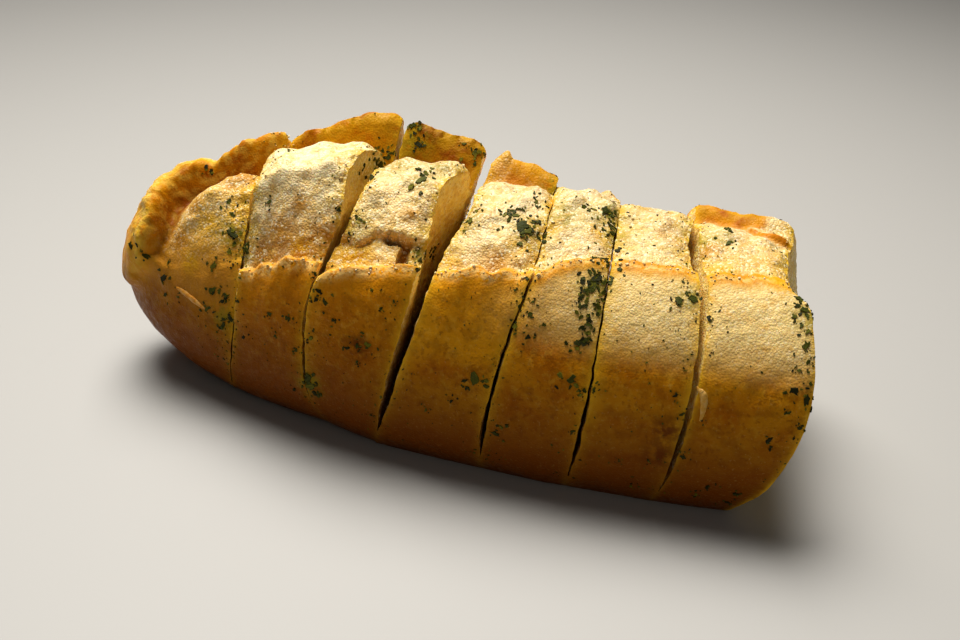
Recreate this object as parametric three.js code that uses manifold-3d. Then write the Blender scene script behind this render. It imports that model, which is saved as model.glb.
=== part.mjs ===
// Half a garlic baguette: one rounded end, one sawn end, and cross cuts that stop short of the
// bottom crust, so that the slices stay joined and the loaf is one piece. Along its top runs an
// opened score, where soft crumb swells up between a front crust lip and a rear folded ear.
// Millimetres, +Z up. Stations run along +X from the rounded tip to the sawn end.

import * as THREE from 'three';
import { mergeVertices } from 'three/addons/utils/BufferGeometryUtils.js';
import Module from 'manifold-3d';

// Whole loaf
const WIDEST_STATION = 102;
const HALF_WIDTH = 28;
const FLARE_LENGTH = 110;
const MIDDLE_HEIGHT = 17;
const TIP_HEIGHT = 18.2;
const CROWN_RISE = 25.5;
const HUMP_RISE = 4.2;
const HUMP_STATION = 70;
const HUMP_LENGTH = 45;
const TIP_SIDE_SHIFT = 4;
const TIP_LIFT_POWER = 4;
const TIP_FALL_POWER = 5;
const BASE_SHARE = 0.8;
const TIP_BASE_SHARE = 0.45;
const UNDERSIDE_LIFT_LENGTH = 42;
const SECTION_POWER = 2.25;

// Opened score: the angles of its two edges, from straight up, at stations along the loaf
const STRIP_START = 7.5;
const STRIP_CORNER = 2;
const LIP_LINE = [
  [0, -62], [22, -57], [30, -49], [40, -46.5], [46, -46], [67, -41.5], [80, -39], [88, -32],
  [98, -27.5], [106, -25], [113, -25], [126, -20.5], [139, -21],
];
const EAR_LINE = [
  [0, 16], [13, 14], [34, 24], [56, 31], [88, 36], [114, 35], [121, 33], [127, 30], [139, 29],
];
const LIP_RAMP = 13;
const EAR_RAMP = 12;
const RAMP_POWER = 1.5;
const LIP_CURL = { depth: 0.45, length: 1.4, fullLip: 1 };
const LIP_THICKNESS = 1.8;
const EAR_THICKNESS = 3.4;
const TIP_EAR_THICKNESS = 5.5;
const TIP_EAR_SHARE = 0.72;
const LIP_SHOULDER = 20;
const EDGE_CREST_SHARE = 0.3;
const LIP_DROP_SHARE = 0.2;
const LIP_WAVE = { share: 0.35, length: 15, swing: 48, phase: 1 };
const EAR_WAVE_SHARE = 0.15;
const EAR_CORNER = { share: 0.16, length: 1.2 };
const CRUMB_LUMP = { rise: 0.6, along: 9, round: 24 };

// Slices from the rounded tip. Lip, ear and crumb are rises above the plain skin, climb is how much
// higher the ear ends than it starts, shoulder is how far from the ear the crumb is at its full rise,
// groove is the dip between them, and drop is how many degrees lower the lip starts at the slice's
// left cut. The first slice's ear has a line of its own, along the slice.
const SLICES = [
  { lip: 0, ear: 0, climb: 0, crumb: 3.5, shoulder: 5, groove: 1, drop: 0 },
  { lip: 2.6, ear: 11.7, climb: 5, crumb: 7, shoulder: 5, groove: 0.8, drop: 5 },
  { lip: 3, ear: 10.1, climb: -3.6, crumb: 3.6, shoulder: 6, groove: 0.8, drop: 7 },
  { lip: 2.4, ear: 5.2, climb: -1.5, crumb: 1.2, shoulder: 12, groove: 0.4, drop: 1.5 },
  { lip: 1.6, ear: 1.9, climb: 0, crumb: 2.2, shoulder: 9, groove: 0.1, drop: 2 },
  { lip: 0.8, ear: 1.2, climb: 0, crumb: 2, shoulder: 9, groove: 0.1, drop: 3 },
  { lip: 0.7, ear: 2.9, climb: -1.6, crumb: 1.2, shoulder: 9, groove: 0.1, drop: 1 },
];
const NUB_EAR = [
  [0, 11.5], [0.28, 9.2], [0.43, 7.2], [0.6, 5.8], [0.65, 6.2], [0.68, 7.2], [0.735, 8.4], [0.87, 9.2],
  [1, 9.2],
];
const EAR_SPIKE = { slice: 3, share: 0.17, rise: 2.2, width: 0.07 };
const RELIEF_FADE = 0.3;
const EDGE_ROUNDING = 0.7;
const EDGE_ROUNDING_LENGTH = 1.6;
const CRUMB_ROUNDING = { depth: 1.1, length: 2.6, power: 1.5, from: 0.7, to: 1.6 };

// Knife cuts and the sawn end: foot is the station at the base, lean and skew are degrees off
// upright and off square, bow is how far the cut curves out at half height, sweep is how far it
// turns towards the sawn end at the ear, and setback is how far the crumb ends short of the crust.
// The gap narrows by pinch at the ear and by frontPinch at the lip.
const CUTS = [
  { foot: 26, lean: 6.8, skew: -11, sweep: 4.4, gapFoot: 0.5, gapTop: 1, pinch: 0.5, frontPinch: 0.4 },
  {
    foot: 51.2, lean: 1.5, skew: -1, bow: -4.4, sweep: 3,
    gapFoot: 0.5, gapTop: 2.8, pinch: 2, frontPinch: 1.9,
  },
  { foot: 60.6, lean: 13.4, skew: -2.6, sweep: 2.2, gapFoot: 0.6, gapTop: 6.2, pinch: 4.4, frontPinch: 3 },
  { foot: 81.3, lean: 10, skew: -5, bow: -1.8, gapFoot: 1, gapTop: 0.6 },
  { foot: 97.8, lean: 5.5, skew: -4.3, bow: 0.8, gapFoot: 1, gapTop: 0.6 },
  { foot: 109, lean: 9.2, skew: -16.5, sweep: 4, gapFoot: 0.7, gapTop: 2.2, pinch: 1.6, frontPinch: 0.8 },
];
const SAWN_END = { foot: 127, lean: 12.2, skew: -7, bow: 5.6, setback: 3 };
const SETBACK_FRONT = [-14, -9];
const SETBACK_REAR = [-6, 16];
const SETBACK_HEIGHTS = [28, 38];
const SWEEP_SIDES = [-4, 16];
const FRONT_PINCH_SIDES = [4, 18];
const HINGE_HEIGHT = 4.5;
const BLADE_REACH = 34;
const BLADE_TOP = 60;
const BLADE_STEPS = 11;
const OVERCUT = 0.15;

// Dried herb flakes, and two scraps of torn crust
const FLAKE_COUNT = 92;
const FLAKE_LARGEST = 3.8;
const FLAKE_SMALLEST = 1.5;
const FLAKE_SIDES = 7;
const FLAKE_THICKNESS = 0.7;
const FLAKE_WIDTH_SHARES = [0.45, 0.8];
const FLAKE_CORNER_SHARES = [0.75, 1.2];
const FLAKE_SPREAD = 7;
const FLAKE_REACH_SHARE = 0.7;
const FLAKE_EDGE_GAP = 0.8;
const FLAKE_ANGLES = [-112, 62];
const FLAKE_RIGHT_SHARE = 0.55;
const FLAKE_SEED = 71;
const CRUST_SCRAPS = [
  { slice: 0, share: 0.62, angle: -66, size: 5 },
  { slice: 6, share: 0.16, angle: -74, size: 5.5 },
];
const SCRAP_THICKNESS = 1.4;

// Sampling of the skin
const SECTIONS_PER_SLICE = 7;
const SECTIONS_IN_TIP = 15;
const BASE_STEPS = 3;
const SIDE_STEPS = 8;
const CRUMB_STEPS = 5;
const LIP_OFFSETS = [-5, -2.4, -0.8, 0, 0.9, 1.8, 3.6];
const EAR_OFFSETS = [4.4, 3.2, 1.8, 0, -1.2, -3, -6, -11];

const SHORTEST_EDGE = 0.02;
const SLOPE_STEP = { share: 0.02, angle: 1 };
const CURVE_EASE = 0.5;
const DRAW_FACTOR = 16807;
const DRAW_MODULUS = 2147483647;

const CRUST_COLOUR = 0xc08a2c;

const wasm = await Module();
wasm.setup();

const { clamp, degToRad, lerp, smoothstep } = THREE.MathUtils;

// A smooth curve through [station, value] pairs
function along(line, station) {
  const last = line.length - 1;
  const x = clamp(station, line[0][0], line[last][0]);
  let i = 0;
  while (i < last - 1 && x > line[i + 1][0]) i += 1;
  const [x0, v0] = line[i];
  const [x1, v1] = line[i + 1];
  const straight = (x - x0) / (x1 - x0);
  return lerp(v0, v1, lerp(straight, smoothstep(x, x0, x1), CURVE_EASE));
}

// The plain loaf at a station: half width, heights of the middle, top and underside, side shift
function bodyAt(station) {
  const towardsTip = Math.min(1, Math.max(0, WIDEST_STATION - station) / WIDEST_STATION);
  const towardsEnd = Math.max(0, station - WIDEST_STATION) / FLARE_LENGTH;
  const lift = clamp((UNDERSIDE_LIFT_LENGTH - station) / UNDERSIDE_LIFT_LENGTH, 0, 1);
  const middle = lerp(MIDDLE_HEIGHT, TIP_HEIGHT, towardsTip ** TIP_LIFT_POWER);
  const underside = middle * (1 - Math.sqrt(1 - lift ** 2));
  const baseShare = lerp(BASE_SHARE, TIP_BASE_SHARE, towardsTip ** 2);
  const hump = HUMP_RISE * Math.exp(-(((station - HUMP_STATION) / HUMP_LENGTH) ** 2));
  return {
    halfWidth: HALF_WIDTH * Math.sqrt(1 - (towardsTip + towardsEnd) ** 2),
    rise: (CROWN_RISE + hump) * Math.sqrt(1 - towardsTip ** TIP_FALL_POWER),
    drop: (middle - underside) / (1 - baseShare ** SECTION_POWER) ** (1 / SECTION_POWER),
    baseShare,
    middle,
    underside,
    side: TIP_SIDE_SHIFT * towardsTip ** 2,
  };
}

// The x of a cut at a place in the loaf's section
function cutX({ foot, lean, skew, bow = 0, sweep = 0, setback = 0 }, y, z) {
  const height = clamp(z / (MIDDLE_HEIGHT + CROWN_RISE), 0, 1);
  const slant = Math.tan(degToRad(lean)) * z + Math.tan(degToRad(skew)) * y;
  const turn = sweep * height * smoothstep(y, ...SWEEP_SIDES);
  const onCrumb = smoothstep(y, ...SETBACK_FRONT) * (1 - smoothstep(y, ...SETBACK_REAR));
  const torn = setback * onCrumb * smoothstep(z, ...SETBACK_HEIGHTS);
  return foot + slant + turn + bow * 4 * height * (1 - height) - torn;
}

// The width of a cut, which opens with height and narrows at the ear and at the lip
function gapAt({ gapFoot, gapTop, pinch = 0, frontPinch = 0 }, y, z) {
  const height = z / (MIDDLE_HEIGHT + CROWN_RISE);
  const rear = pinch * smoothstep(y, ...SWEEP_SIDES);
  const front = frontPinch * smoothstep(-y, ...FRONT_PINCH_SIDES);
  return lerp(gapFoot, gapTop - rear - front, height);
}

// The x of a slice's two ends at a place in the section, a little inside the cuts
function sliceEnds(slice, y, z) {
  const before = CUTS[slice - 1];
  const after = CUTS[slice];
  return [
    before ? cutX(before, y, z) + gapAt(before, y, z) / 2 - OVERCUT : 0,
    after ? cutX(after, y, z) - gapAt(after, y, z) / 2 + OVERCUT : cutX(SAWN_END, y, z),
  ];
}

function stationOf(slice, share) {
  const [left, right] = sliceEnds(slice, 0, MIDDLE_HEIGHT);
  return lerp(left, right, share);
}

function lipAngle(slice, share, station) {
  return along(LIP_LINE, station) - SLICES[slice].drop * Math.exp(-share / LIP_DROP_SHARE);
}

// The smaller of two distances, with the corner where they are equal rounded off
function roundedMin(a, b, corner) {
  return -corner * Math.log(Math.exp(-a / corner) + Math.exp(-b / corner));
}

// How near a point is to the first of two edges, from 0 to 1
function nearness(toFirst, toSecond, blend) {
  return 1 / (1 + Math.exp((toFirst - toSecond) / blend));
}

// How far the ear stands above the plain loaf before it is shaped at its ends
function earAt(slice, share) {
  if (slice === 0) return along(NUB_EAR, share);
  const { ear, climb } = SLICES[slice];
  const spike = EAR_SPIKE.rise * Math.exp(-(((share - EAR_SPIKE.share) / EAR_SPIKE.width) ** 2));
  return ear + climb * (share - 0.5) + (slice === EAR_SPIKE.slice ? spike : 0);
}

// How far the skin stands above the plain loaf: lip, ear, swelling crumb and rounded cut edges
function reliefAt(slice, share, station, angle, radius) {
  const { lip, crumb, groove, shoulder } = SLICES[slice];
  const fromLip = degToRad(angle - lipAngle(slice, share, station)) * radius;
  const fromEar = degToRad(along(EAR_LINE, station) - angle) * radius;
  const fromStart = station - STRIP_START;
  const fromFold = roundedMin(fromEar, fromStart, STRIP_CORNER);
  const inside = Math.min(fromLip, fromFold);
  const foldNear = nearness(fromFold, fromLip, STRIP_CORNER);
  const startNear = nearness(fromStart, fromEar, STRIP_CORNER);

  const turns = station * 2 * Math.PI;
  const swing = Math.sin(turns / LIP_WAVE.swing + LIP_WAVE.phase);
  const wave = LIP_WAVE.share * Math.sin(turns / LIP_WAVE.length) * swing;
  const sliceLength = stationOf(slice, 1) - stationOf(slice, 0);
  const fromCut = Math.min(slice === 0 ? Infinity : share, 1 - share) * sliceLength;
  const rounding = EDGE_ROUNDING * Math.exp(-fromCut / EDGE_ROUNDING_LENGTH);
  const corner = 1 - EAR_CORNER.share * Math.exp(-fromCut / EAR_CORNER.length);
  const earShape = corner * lerp(1, TIP_EAR_SHARE, startNear) * (1 + wave * EAR_WAVE_SHARE);
  const earRise = earAt(slice, share) * earShape;
  const edge = lerp(lip * (1 + wave), earRise, foldNear);
  const curl = LIP_CURL.depth * (1 - foldNear) * Math.min(lip, LIP_CURL.fullLip);
  if (inside < 0) {
    const ramp = lerp(LIP_RAMP, EAR_RAMP, foldNear);
    const slope = edge * clamp(1 + inside / ramp, 0, 1) ** RAMP_POWER;
    return slope - curl * Math.exp(inside / LIP_CURL.length) - rounding;
  }
  const earThickness = slice === 0 ? TIP_EAR_THICKNESS : EAR_THICKNESS;
  const thickness = lerp(LIP_THICKNESS, earThickness, foldNear);
  const lumpAlong = Math.sin(turns / CRUMB_LUMP.along);
  const lumpRound = Math.sin((angle * 2 * Math.PI) / CRUMB_LUMP.round + slice);
  const swell = crumb + CRUMB_LUMP.rise * lumpAlong * lumpRound;
  const dip = slice === 0 ? groove * foldNear : groove;
  const rising = lerp(LIP_SHOULDER, shoulder, foldNear);
  const crumbHere = lerp(-dip, swell, smoothstep(inside, thickness, thickness + rising));
  const fromSoftEdge = (fromCut / CRUMB_ROUNDING.length) ** CRUMB_ROUNDING.power;
  const softEdge = CRUMB_ROUNDING.depth * Math.exp(-fromSoftEdge);
  const onCrumb = smoothstep(inside, thickness * CRUMB_ROUNDING.from, thickness * CRUMB_ROUNDING.to);
  const crest = smoothstep(inside, thickness * EDGE_CREST_SHARE, thickness);
  return lerp(edge - curl, crumbHere, crest) - rounding - softEdge * onCrumb;
}

// A point of the skin on a slice: share runs from its left cut to its right one
function skinPoint(slice, share, angle) {
  const station = stationOf(slice, share);
  const body = bodyAt(station);
  const across = Math.sin(degToRad(angle));
  const up = Math.cos(degToRad(angle));
  const vertical = up > 0 ? body.rise : body.drop;
  const power = SECTION_POWER;
  const fit = (Math.abs(across) / body.halfWidth) ** power + (Math.abs(up) / vertical) ** power;
  const radius = fit ** (-1 / power);
  const upper = smoothstep(up, -RELIEF_FADE, RELIEF_FADE);
  const reach = radius + upper * reliefAt(slice, share, station, angle, radius);
  const y = body.side + across * reach;
  const z = Math.max(body.underside, body.middle + up * reach);
  const [left, right] = sliceEnds(slice, y, z);
  return new THREE.Vector3(lerp(left, right, share), y, z);
}

// The angles round one section, closer together at the lip and at the ear
function ringAngles(slice, share) {
  const station = stationOf(slice, share);
  const body = bodyAt(station);
  const corner = 180 - THREE.MathUtils.radToDeg(
    Math.atan2(body.halfWidth * body.baseShare, body.middle - body.underside),
  );
  const perMillimetre = THREE.MathUtils.radToDeg(1 / Math.max(body.halfWidth, body.rise));
  const lip = lipAngle(slice, share, station);
  const ear = along(EAR_LINE, station);
  const lipStart = lip + LIP_OFFSETS[0] * perMillimetre;
  const lipEnd = lip + LIP_OFFSETS.at(-1) * perMillimetre;
  const earStart = ear - EAR_OFFSETS[0] * perMillimetre;
  const earEnd = ear - EAR_OFFSETS.at(-1) * perMillimetre;
  const steps = (from, to, count) => Array.from({ length: count }, (_, i) => lerp(from, to, i / count));
  return [
    ...steps(-180, -corner, BASE_STEPS),
    ...steps(-corner, lipStart, SIDE_STEPS),
    ...LIP_OFFSETS.slice(0, -1).map((offset) => lip + offset * perMillimetre),
    ...steps(lipEnd, earStart, CRUMB_STEPS),
    ...EAR_OFFSETS.slice(0, -1).map((offset) => ear - offset * perMillimetre),
    ...steps(earEnd, corner, SIDE_STEPS),
    ...steps(corner, 180, BASE_STEPS),
  ];
}

// The uncut loaf: rings of skin points from the tip to the sawn end, closed by a point at each end
function uncutLoaf() {
  const rings = [];
  SLICES.forEach((_, slice) => {
    const count = slice === 0 ? SECTIONS_IN_TIP : SECTIONS_PER_SLICE;
    const first = slice === 0 ? 1 : 0;
    for (let i = first; i < count; i += 1) {
      const even = i / (count - 1);
      const share = slice === 0 ? 1 - Math.cos((even * Math.PI) / 2) : smoothstep(even, 0, 1);
      rings.push(ringAngles(slice, share).map((angle) => skinPoint(slice, share, angle)));
    }
  });
  const ringSize = rings[0].length;
  const tip = new THREE.Vector3(0, TIP_SIDE_SHIFT, TIP_HEIGHT);
  const endCentre = new THREE.Vector3();
  rings.at(-1).forEach((point) => endCentre.addScaledVector(point, 1 / ringSize));
  endCentre.x = cutX(SAWN_END, endCentre.y, endCentre.z);
  const points = [tip, ...rings.flat(), endCentre];
  const at = (ring, side) => 1 + ring * ringSize + (side % ringSize);
  const triangles = [];
  for (let side = 0; side < ringSize; side += 1) {
    triangles.push(0, at(0, side), at(0, side + 1));
    for (let ring = 0; ring < rings.length - 1; ring += 1) {
      const [a, b] = [at(ring, side), at(ring, side + 1)];
      const [c, d] = [at(ring + 1, side), at(ring + 1, side + 1)];
      triangles.push(a, c, b, b, c, d);
    }
    triangles.push(points.length - 1, at(rings.length - 1, side + 1), at(rings.length - 1, side));
  }
  const geometry = new THREE.BufferGeometry().setFromPoints(points);
  geometry.setIndex(triangles);
  return geometry;
}

// The space that one knife cut leaves, down to the bottom crust
function knifeCut(cut) {
  const height = BLADE_TOP - HINGE_HEIGHT;
  const geometry = new THREE.BoxGeometry(1, BLADE_REACH * 2, height, 1, BLADE_STEPS, BLADE_STEPS);
  const position = geometry.attributes.position;
  for (let i = 0; i < position.count; i += 1) {
    const y = position.getY(i);
    const z = position.getZ(i) + HINGE_HEIGHT + height / 2;
    position.setXYZ(i, cutX(cut, y, z) + position.getX(i) * gapAt(cut, y, z), y, z);
  }
  return geometry;
}

// A repeatable draw between 0 and 1
function seededDraw(seed) {
  let state = seed;
  return () => {
    state = (state * DRAW_FACTOR) % DRAW_MODULUS;
    return state / DRAW_MODULUS;
  };
}

// One flake or scrap, an uneven thin plate lying on the skin
function flakeOnSkin(draw, size, thickness, { slice, share, angle }) {
  const geometry = new THREE.CylinderGeometry(0.5, 0.5, thickness, FLAKE_SIDES);
  geometry.deleteAttribute('normal');
  geometry.deleteAttribute('uv');
  const flake = mergeVertices(geometry);
  const width = size * lerp(...FLAKE_WIDTH_SHARES, draw());
  const turn = draw() * Math.PI * 2;
  const uneven = Array.from({ length: FLAKE_SIDES }, () => lerp(...FLAKE_CORNER_SHARES, draw()));
  const position = flake.attributes.position;
  for (let i = 0; i < position.count; i += 1) {
    const side = Math.atan2(position.getX(i), position.getZ(i)) / (Math.PI * 2);
    const stretch = uneven[Math.round(side * FLAKE_SIDES + FLAKE_SIDES) % FLAKE_SIDES];
    position.setX(i, position.getX(i) * size * stretch);
    position.setZ(i, position.getZ(i) * width * stretch);
  }
  const place = skinPoint(slice, share, angle);
  const alongLoaf = skinPoint(slice, share + SLOPE_STEP.share, angle).sub(place);
  const roundLoaf = skinPoint(slice, share, angle + SLOPE_STEP.angle).sub(place);
  const normal = roundLoaf.cross(alongLoaf).normalize();
  flake.rotateY(turn);
  flake.applyQuaternion(new THREE.Quaternion().setFromUnitVectors(new THREE.Vector3(0, 1, 0), normal));
  flake.translate(place.x, place.y, place.z);
  return flake;
}

// Flakes gather along the cut edges and round the rim of the sawn end, the largest first
function toppings() {
  const draw = seededDraw(FLAKE_SEED);
  const pieces = CRUST_SCRAPS.map((scrap) => flakeOnSkin(draw, scrap.size, SCRAP_THICKNESS, scrap));
  for (let i = 0; i < FLAKE_COUNT; i += 1) {
    const size = lerp(FLAKE_LARGEST, FLAKE_SMALLEST, Math.sqrt(i / FLAKE_COUNT));
    const slice = Math.floor(draw() * SLICES.length);
    const atRight = slice === 0 || draw() < FLAKE_RIGHT_SHARE;
    const sliceLength = stationOf(slice, 1) - stationOf(slice, 0);
    const inset = (size * FLAKE_REACH_SHARE + FLAKE_EDGE_GAP + draw() ** 2 * FLAKE_SPREAD) / sliceLength;
    const share = atRight ? 1 - inset : inset;
    const angle = lerp(...FLAKE_ANGLES, draw());
    pieces.push(flakeOnSkin(draw, size, FLAKE_THICKNESS, { slice, share, angle }));
  }
  return pieces;
}

function solid(geometry) {
  geometry.deleteAttribute('normal');
  geometry.deleteAttribute('uv');
  const merged = mergeVertices(geometry);
  const vertProperties = Float32Array.from(merged.attributes.position.array);
  const triVerts = Uint32Array.from(merged.index.array);
  const mesh = new wasm.Mesh({ numProp: 3, vertProperties, triVerts, tolerance: SHORTEST_EDGE });
  return new wasm.Manifold(mesh);
}

function geometryOf(manifold) {
  const { vertProperties, triVerts } = manifold.getMesh();
  const geometry = new THREE.BufferGeometry();
  geometry.setAttribute('position', new THREE.Float32BufferAttribute(vertProperties, 3));
  geometry.setIndex(Array.from(triVerts));
  geometry.computeVertexNormals();
  return geometry;
}

let loafSolid = solid(uncutLoaf());
CUTS.forEach((cut) => {
  loafSolid = loafSolid.subtract(solid(knifeCut(cut)));
});
toppings().forEach((piece) => {
  loafSolid = loafSolid.add(solid(piece));
});
loafSolid = loafSolid.decompose().reduce((a, b) => (a.volume() > b.volume() ? a : b));

// The origin is under the middle of the loaf, on the face that it rests on
const loafGeometry = geometryOf(loafSolid);
loafGeometry.computeBoundingBox();
const middle = loafGeometry.boundingBox.getCenter(new THREE.Vector3());
loafGeometry.translate(-middle.x, -middle.y, -loafGeometry.boundingBox.min.z);

const crust = new THREE.MeshStandardMaterial({ color: CRUST_COLOUR, roughness: 0.5, metalness: 0 });
const loaf = new THREE.Mesh(loafGeometry, crust);
loaf.name = 'loaf';

const garlicBread = new THREE.Group();
garlicBread.add(loaf);

export default garlicBread;
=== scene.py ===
import math
import random

import bpy
import numpy as np
from mathutils import Matrix, Quaternion, Vector, noise
from mathutils.bvhtree import BVHTree


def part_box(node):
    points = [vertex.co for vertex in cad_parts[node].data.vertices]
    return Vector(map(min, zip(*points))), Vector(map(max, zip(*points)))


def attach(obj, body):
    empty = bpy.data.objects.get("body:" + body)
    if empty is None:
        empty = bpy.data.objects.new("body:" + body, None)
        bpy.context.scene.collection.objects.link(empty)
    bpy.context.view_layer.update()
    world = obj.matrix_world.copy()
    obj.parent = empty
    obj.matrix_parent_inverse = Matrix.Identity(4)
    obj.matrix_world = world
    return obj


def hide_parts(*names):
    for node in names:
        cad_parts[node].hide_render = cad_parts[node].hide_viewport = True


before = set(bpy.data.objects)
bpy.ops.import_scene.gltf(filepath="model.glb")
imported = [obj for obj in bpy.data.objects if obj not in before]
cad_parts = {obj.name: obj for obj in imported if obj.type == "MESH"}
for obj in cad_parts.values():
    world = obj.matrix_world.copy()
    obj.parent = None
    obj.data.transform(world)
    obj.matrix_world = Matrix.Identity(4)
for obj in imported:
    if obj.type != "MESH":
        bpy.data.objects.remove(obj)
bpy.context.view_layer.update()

# Stage
# A plain pale floor, a large soft window light from the back left with a weak fill, and the camera
# low in front of the loaf, turned a little so that the loaf runs down to the right.
AZIMUTH, ELEVATION, ROLL = (math.radians(angle) for angle in (12, 29, 3))
CAMERA_DISTANCE = 0.265
LENS_MM, SENSOR_MM = 50, 36
PICTURE_WIDTH, PICTURE_HEIGHT = 960, 640
AIM = Vector((0.0064, 0, 0.020))
FLOOR_SIZE = 3.0
LIGHT_SPREAD = math.radians(70)
FLOOR_COLOUR = (0.37, 0.36, 0.34, 1)
FLOOR_ROUGHNESS = 0.55
CLIP_START = 0.01
LIGHTS = {
    "window_light": {"place": (-0.17, 0.24, 0.67), "size": 0.50, "power": 2.35, "colour": (1.0, 0.97, 0.92)},
    "front_fill": {"place": (0.35, -0.55, 0.40), "size": 0.60, "power": 0.10, "colour": (1.0, 0.95, 0.88)},
}
STUDIO = {"Color": (1.0, 0.97, 0.93, 1), "Strength": 0.05}


def soft_light(name, place, size, power, colour):
    bpy.ops.object.light_add(type="AREA", location=place)
    light = bpy.context.object
    light.name = name
    light.rotation_euler = (AIM - Vector(place)).to_track_quat("-Z", "Y").to_euler()
    light.data.size = size
    light.data.spread = LIGHT_SPREAD
    light.data.energy = power
    light.data.color = colour


bpy.ops.object.select_all(action="DESELECT")
to_camera = Vector((
    math.sin(AZIMUTH) * math.cos(ELEVATION),
    -math.cos(AZIMUTH) * math.cos(ELEVATION),
    math.sin(ELEVATION),
))
facing = (-to_camera).to_track_quat("-Z", "Y") @ Quaternion((0, 0, 1), ROLL)
bpy.ops.object.camera_add(location=AIM + to_camera * CAMERA_DISTANCE, rotation=facing.to_euler())
camera = bpy.context.object
camera.data.lens = LENS_MM
camera.data.sensor_width = SENSOR_MM
camera.data.clip_start = CLIP_START
bpy.context.scene.camera = camera

for name, light in LIGHTS.items():
    soft_light(name, **light)

world = bpy.data.worlds.new("studio")
world.use_nodes = True
for socket, value in STUDIO.items():
    world.node_tree.nodes["Background"].inputs[socket].default_value = value
bpy.context.scene.world = world
bpy.context.scene.view_settings.view_transform = "Standard"

bpy.ops.mesh.primitive_plane_add(size=FLOOR_SIZE, location=(0, 0, 0))
floor = bpy.context.object
floor.name = "floor"
floor_paint = bpy.data.materials.new("floor_paint")
floor_paint.use_nodes = True
floor_shader = floor_paint.node_tree.nodes["Principled BSDF"]
floor_shader.inputs["Base Color"].default_value = FLOOR_COLOUR
floor_shader.inputs["Roughness"].default_value = FLOOR_ROUGHNESS
floor.data.materials.append(floor_paint)

# Loaf form
# The baked half baguette, in millimetres along its own stations from the rounded tip. Its score
# opened in the oven between a front lip and a rear folded ear, and a knife cut it into slices.
MM = 0.001
TINY, FAR = 1e-9, 50
NUB = 0
CURVE_EASE = 0.5
WIDEST_STATION = 102
HALF_WIDTH = 28
FLARE_LENGTH = 110
MIDDLE_HEIGHT = 17
TIP_HEIGHT = 18.2
CROWN_RISE = 25.5
CROWN_HEIGHT = MIDDLE_HEIGHT + CROWN_RISE
HUMP_RISE, HUMP_STATION, HUMP_LENGTH = 4.2, 70, 45
TIP_SIDE_SHIFT = 4
TIP_LIFT_POWER = 4
TIP_FALL_POWER = 5
BASE_SHARE, TIP_BASE_SHARE = 0.8, 0.45
UNDERSIDE_LIFT_LENGTH = 42
SECTION_POWER = 2.25
STRIP_START = 7.5
STRIP_CORNER = 2
LIP_LINE = [
    (0, -62), (22, -57), (30, -49), (40, -46.5), (46, -46), (67, -41.5), (80, -39), (88, -32),
    (98, -27.5), (106, -25), (113, -25), (126, -20.5), (139, -21),
]
EAR_LINE = [(0, 16), (13, 14), (34, 24), (56, 31), (88, 36), (114, 35), (121, 33), (127, 30), (139, 29)]
NUB_EAR = [
    (0, 11.5), (0.28, 9.2), (0.43, 7.2), (0.6, 5.8), (0.65, 6.2), (0.68, 7.2), (0.735, 8.4), (0.87, 9.2),
    (1, 9.2),
]
EAR_SPIKE = {"slice": 3, "share": 0.17, "rise": 1.8, "width": 0.09}
LIP_RAMP, EAR_RAMP = 13, 12
RAMP_POWER = 1.5
LIP_CURL, LIP_CURL_LENGTH = 0.45, 1.4
LIP_THICKNESS, EAR_THICKNESS, TIP_EAR_THICKNESS = 1.8, 3.4, 5.5
TIP_EAR_SHARE = 0.72
LIP_SHOULDER = 20
EDGE_CREST_SHARE = 0.3
LIP_DROP_SHARE = 0.2
WAVE_SHARE, WAVE_LENGTH, WAVE_SWING, WAVE_PHASE = 0.35, 15, 48, 1
EAR_WAVE_SHARE = 0.15
EAR_CORNER_SHARE, EAR_CORNER_LENGTH = 0.16, 1.2
LUMP_RISE, LUMP_ALONG, LUMP_ROUND = 0.6, 9, 24
RELIEF_FADE = 0.3
EDGE_ROUNDING, EDGE_ROUNDING_LENGTH = 0.7, 1.6
CRUMB_ROUNDING, CRUMB_ROUNDING_LENGTH, CRUMB_ROUNDING_POWER = 0.7, 2.2, 1.5
CRUMB_ROUNDING_FROM, CRUMB_ROUNDING_TO = 0.7, 1.6
HINGE_HEIGHT = 4.5
OVERCUT = 0.15
SWEEP_SIDES = (-4, 16)
FRONT_PINCH_SIDES = (4, 18)
SLICES = np.array([
    (0, 0, 0, 3.5, 5, 1.0, 0, 0.3),
    (2.6, 11.7, 5, 7, 5, 0.8, 5, 0.1),
    (3, 10.1, -3.6, 3.6, 6, 0.8, 7, 0.1),
    (2.4, 5.2, -1.5, 1.2, 12, 0.4, 1.5, 0.2),
    (1.6, 1.9, 0, 2.2, 9, 0.1, 2, 0.5),
    (0.8, 1.2, 0, 2, 9, 0.1, 3, 0.5),
    (0.7, 2.9, -1.6, 1.2, 9, 0.1, 1, 0.15),
], dtype=[(name, float) for name in ("lip", "ear", "climb", "crumb", "shoulder", "groove", "drop", "fray")])
CUT_FIELDS = (
    "foot", "lean", "skew", "bow", "sweep", "setback", "gap_foot", "gap_top", "pinch", "front_pinch",
)
CUTS = np.array([
    (26, 6.8, -11, 0, 4.4, 0, 0.3, 1.0, 0.8, 0.7),
    (51.2, 1.5, -1, -4.4, 3, 0, 0.3, 2.8, 2.0, 1.9),
    (60.6, 13.4, -2.6, 0, 2.2, 0, 0.6, 6.2, 4.4, 3.0),
    (81.3, 10, -5, -1.8, 0, 0, 1.0, 0.3, 0, 0),
    (97.8, 5.5, -4.3, 0.8, 0, 0, 1.0, 0.3, 0, 0),
    (109, 9.2, -16.5, 0, 4, 0, 0.7, 2.2, 1.7, 0.8),
], dtype=[(name, float) for name in CUT_FIELDS])
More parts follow.
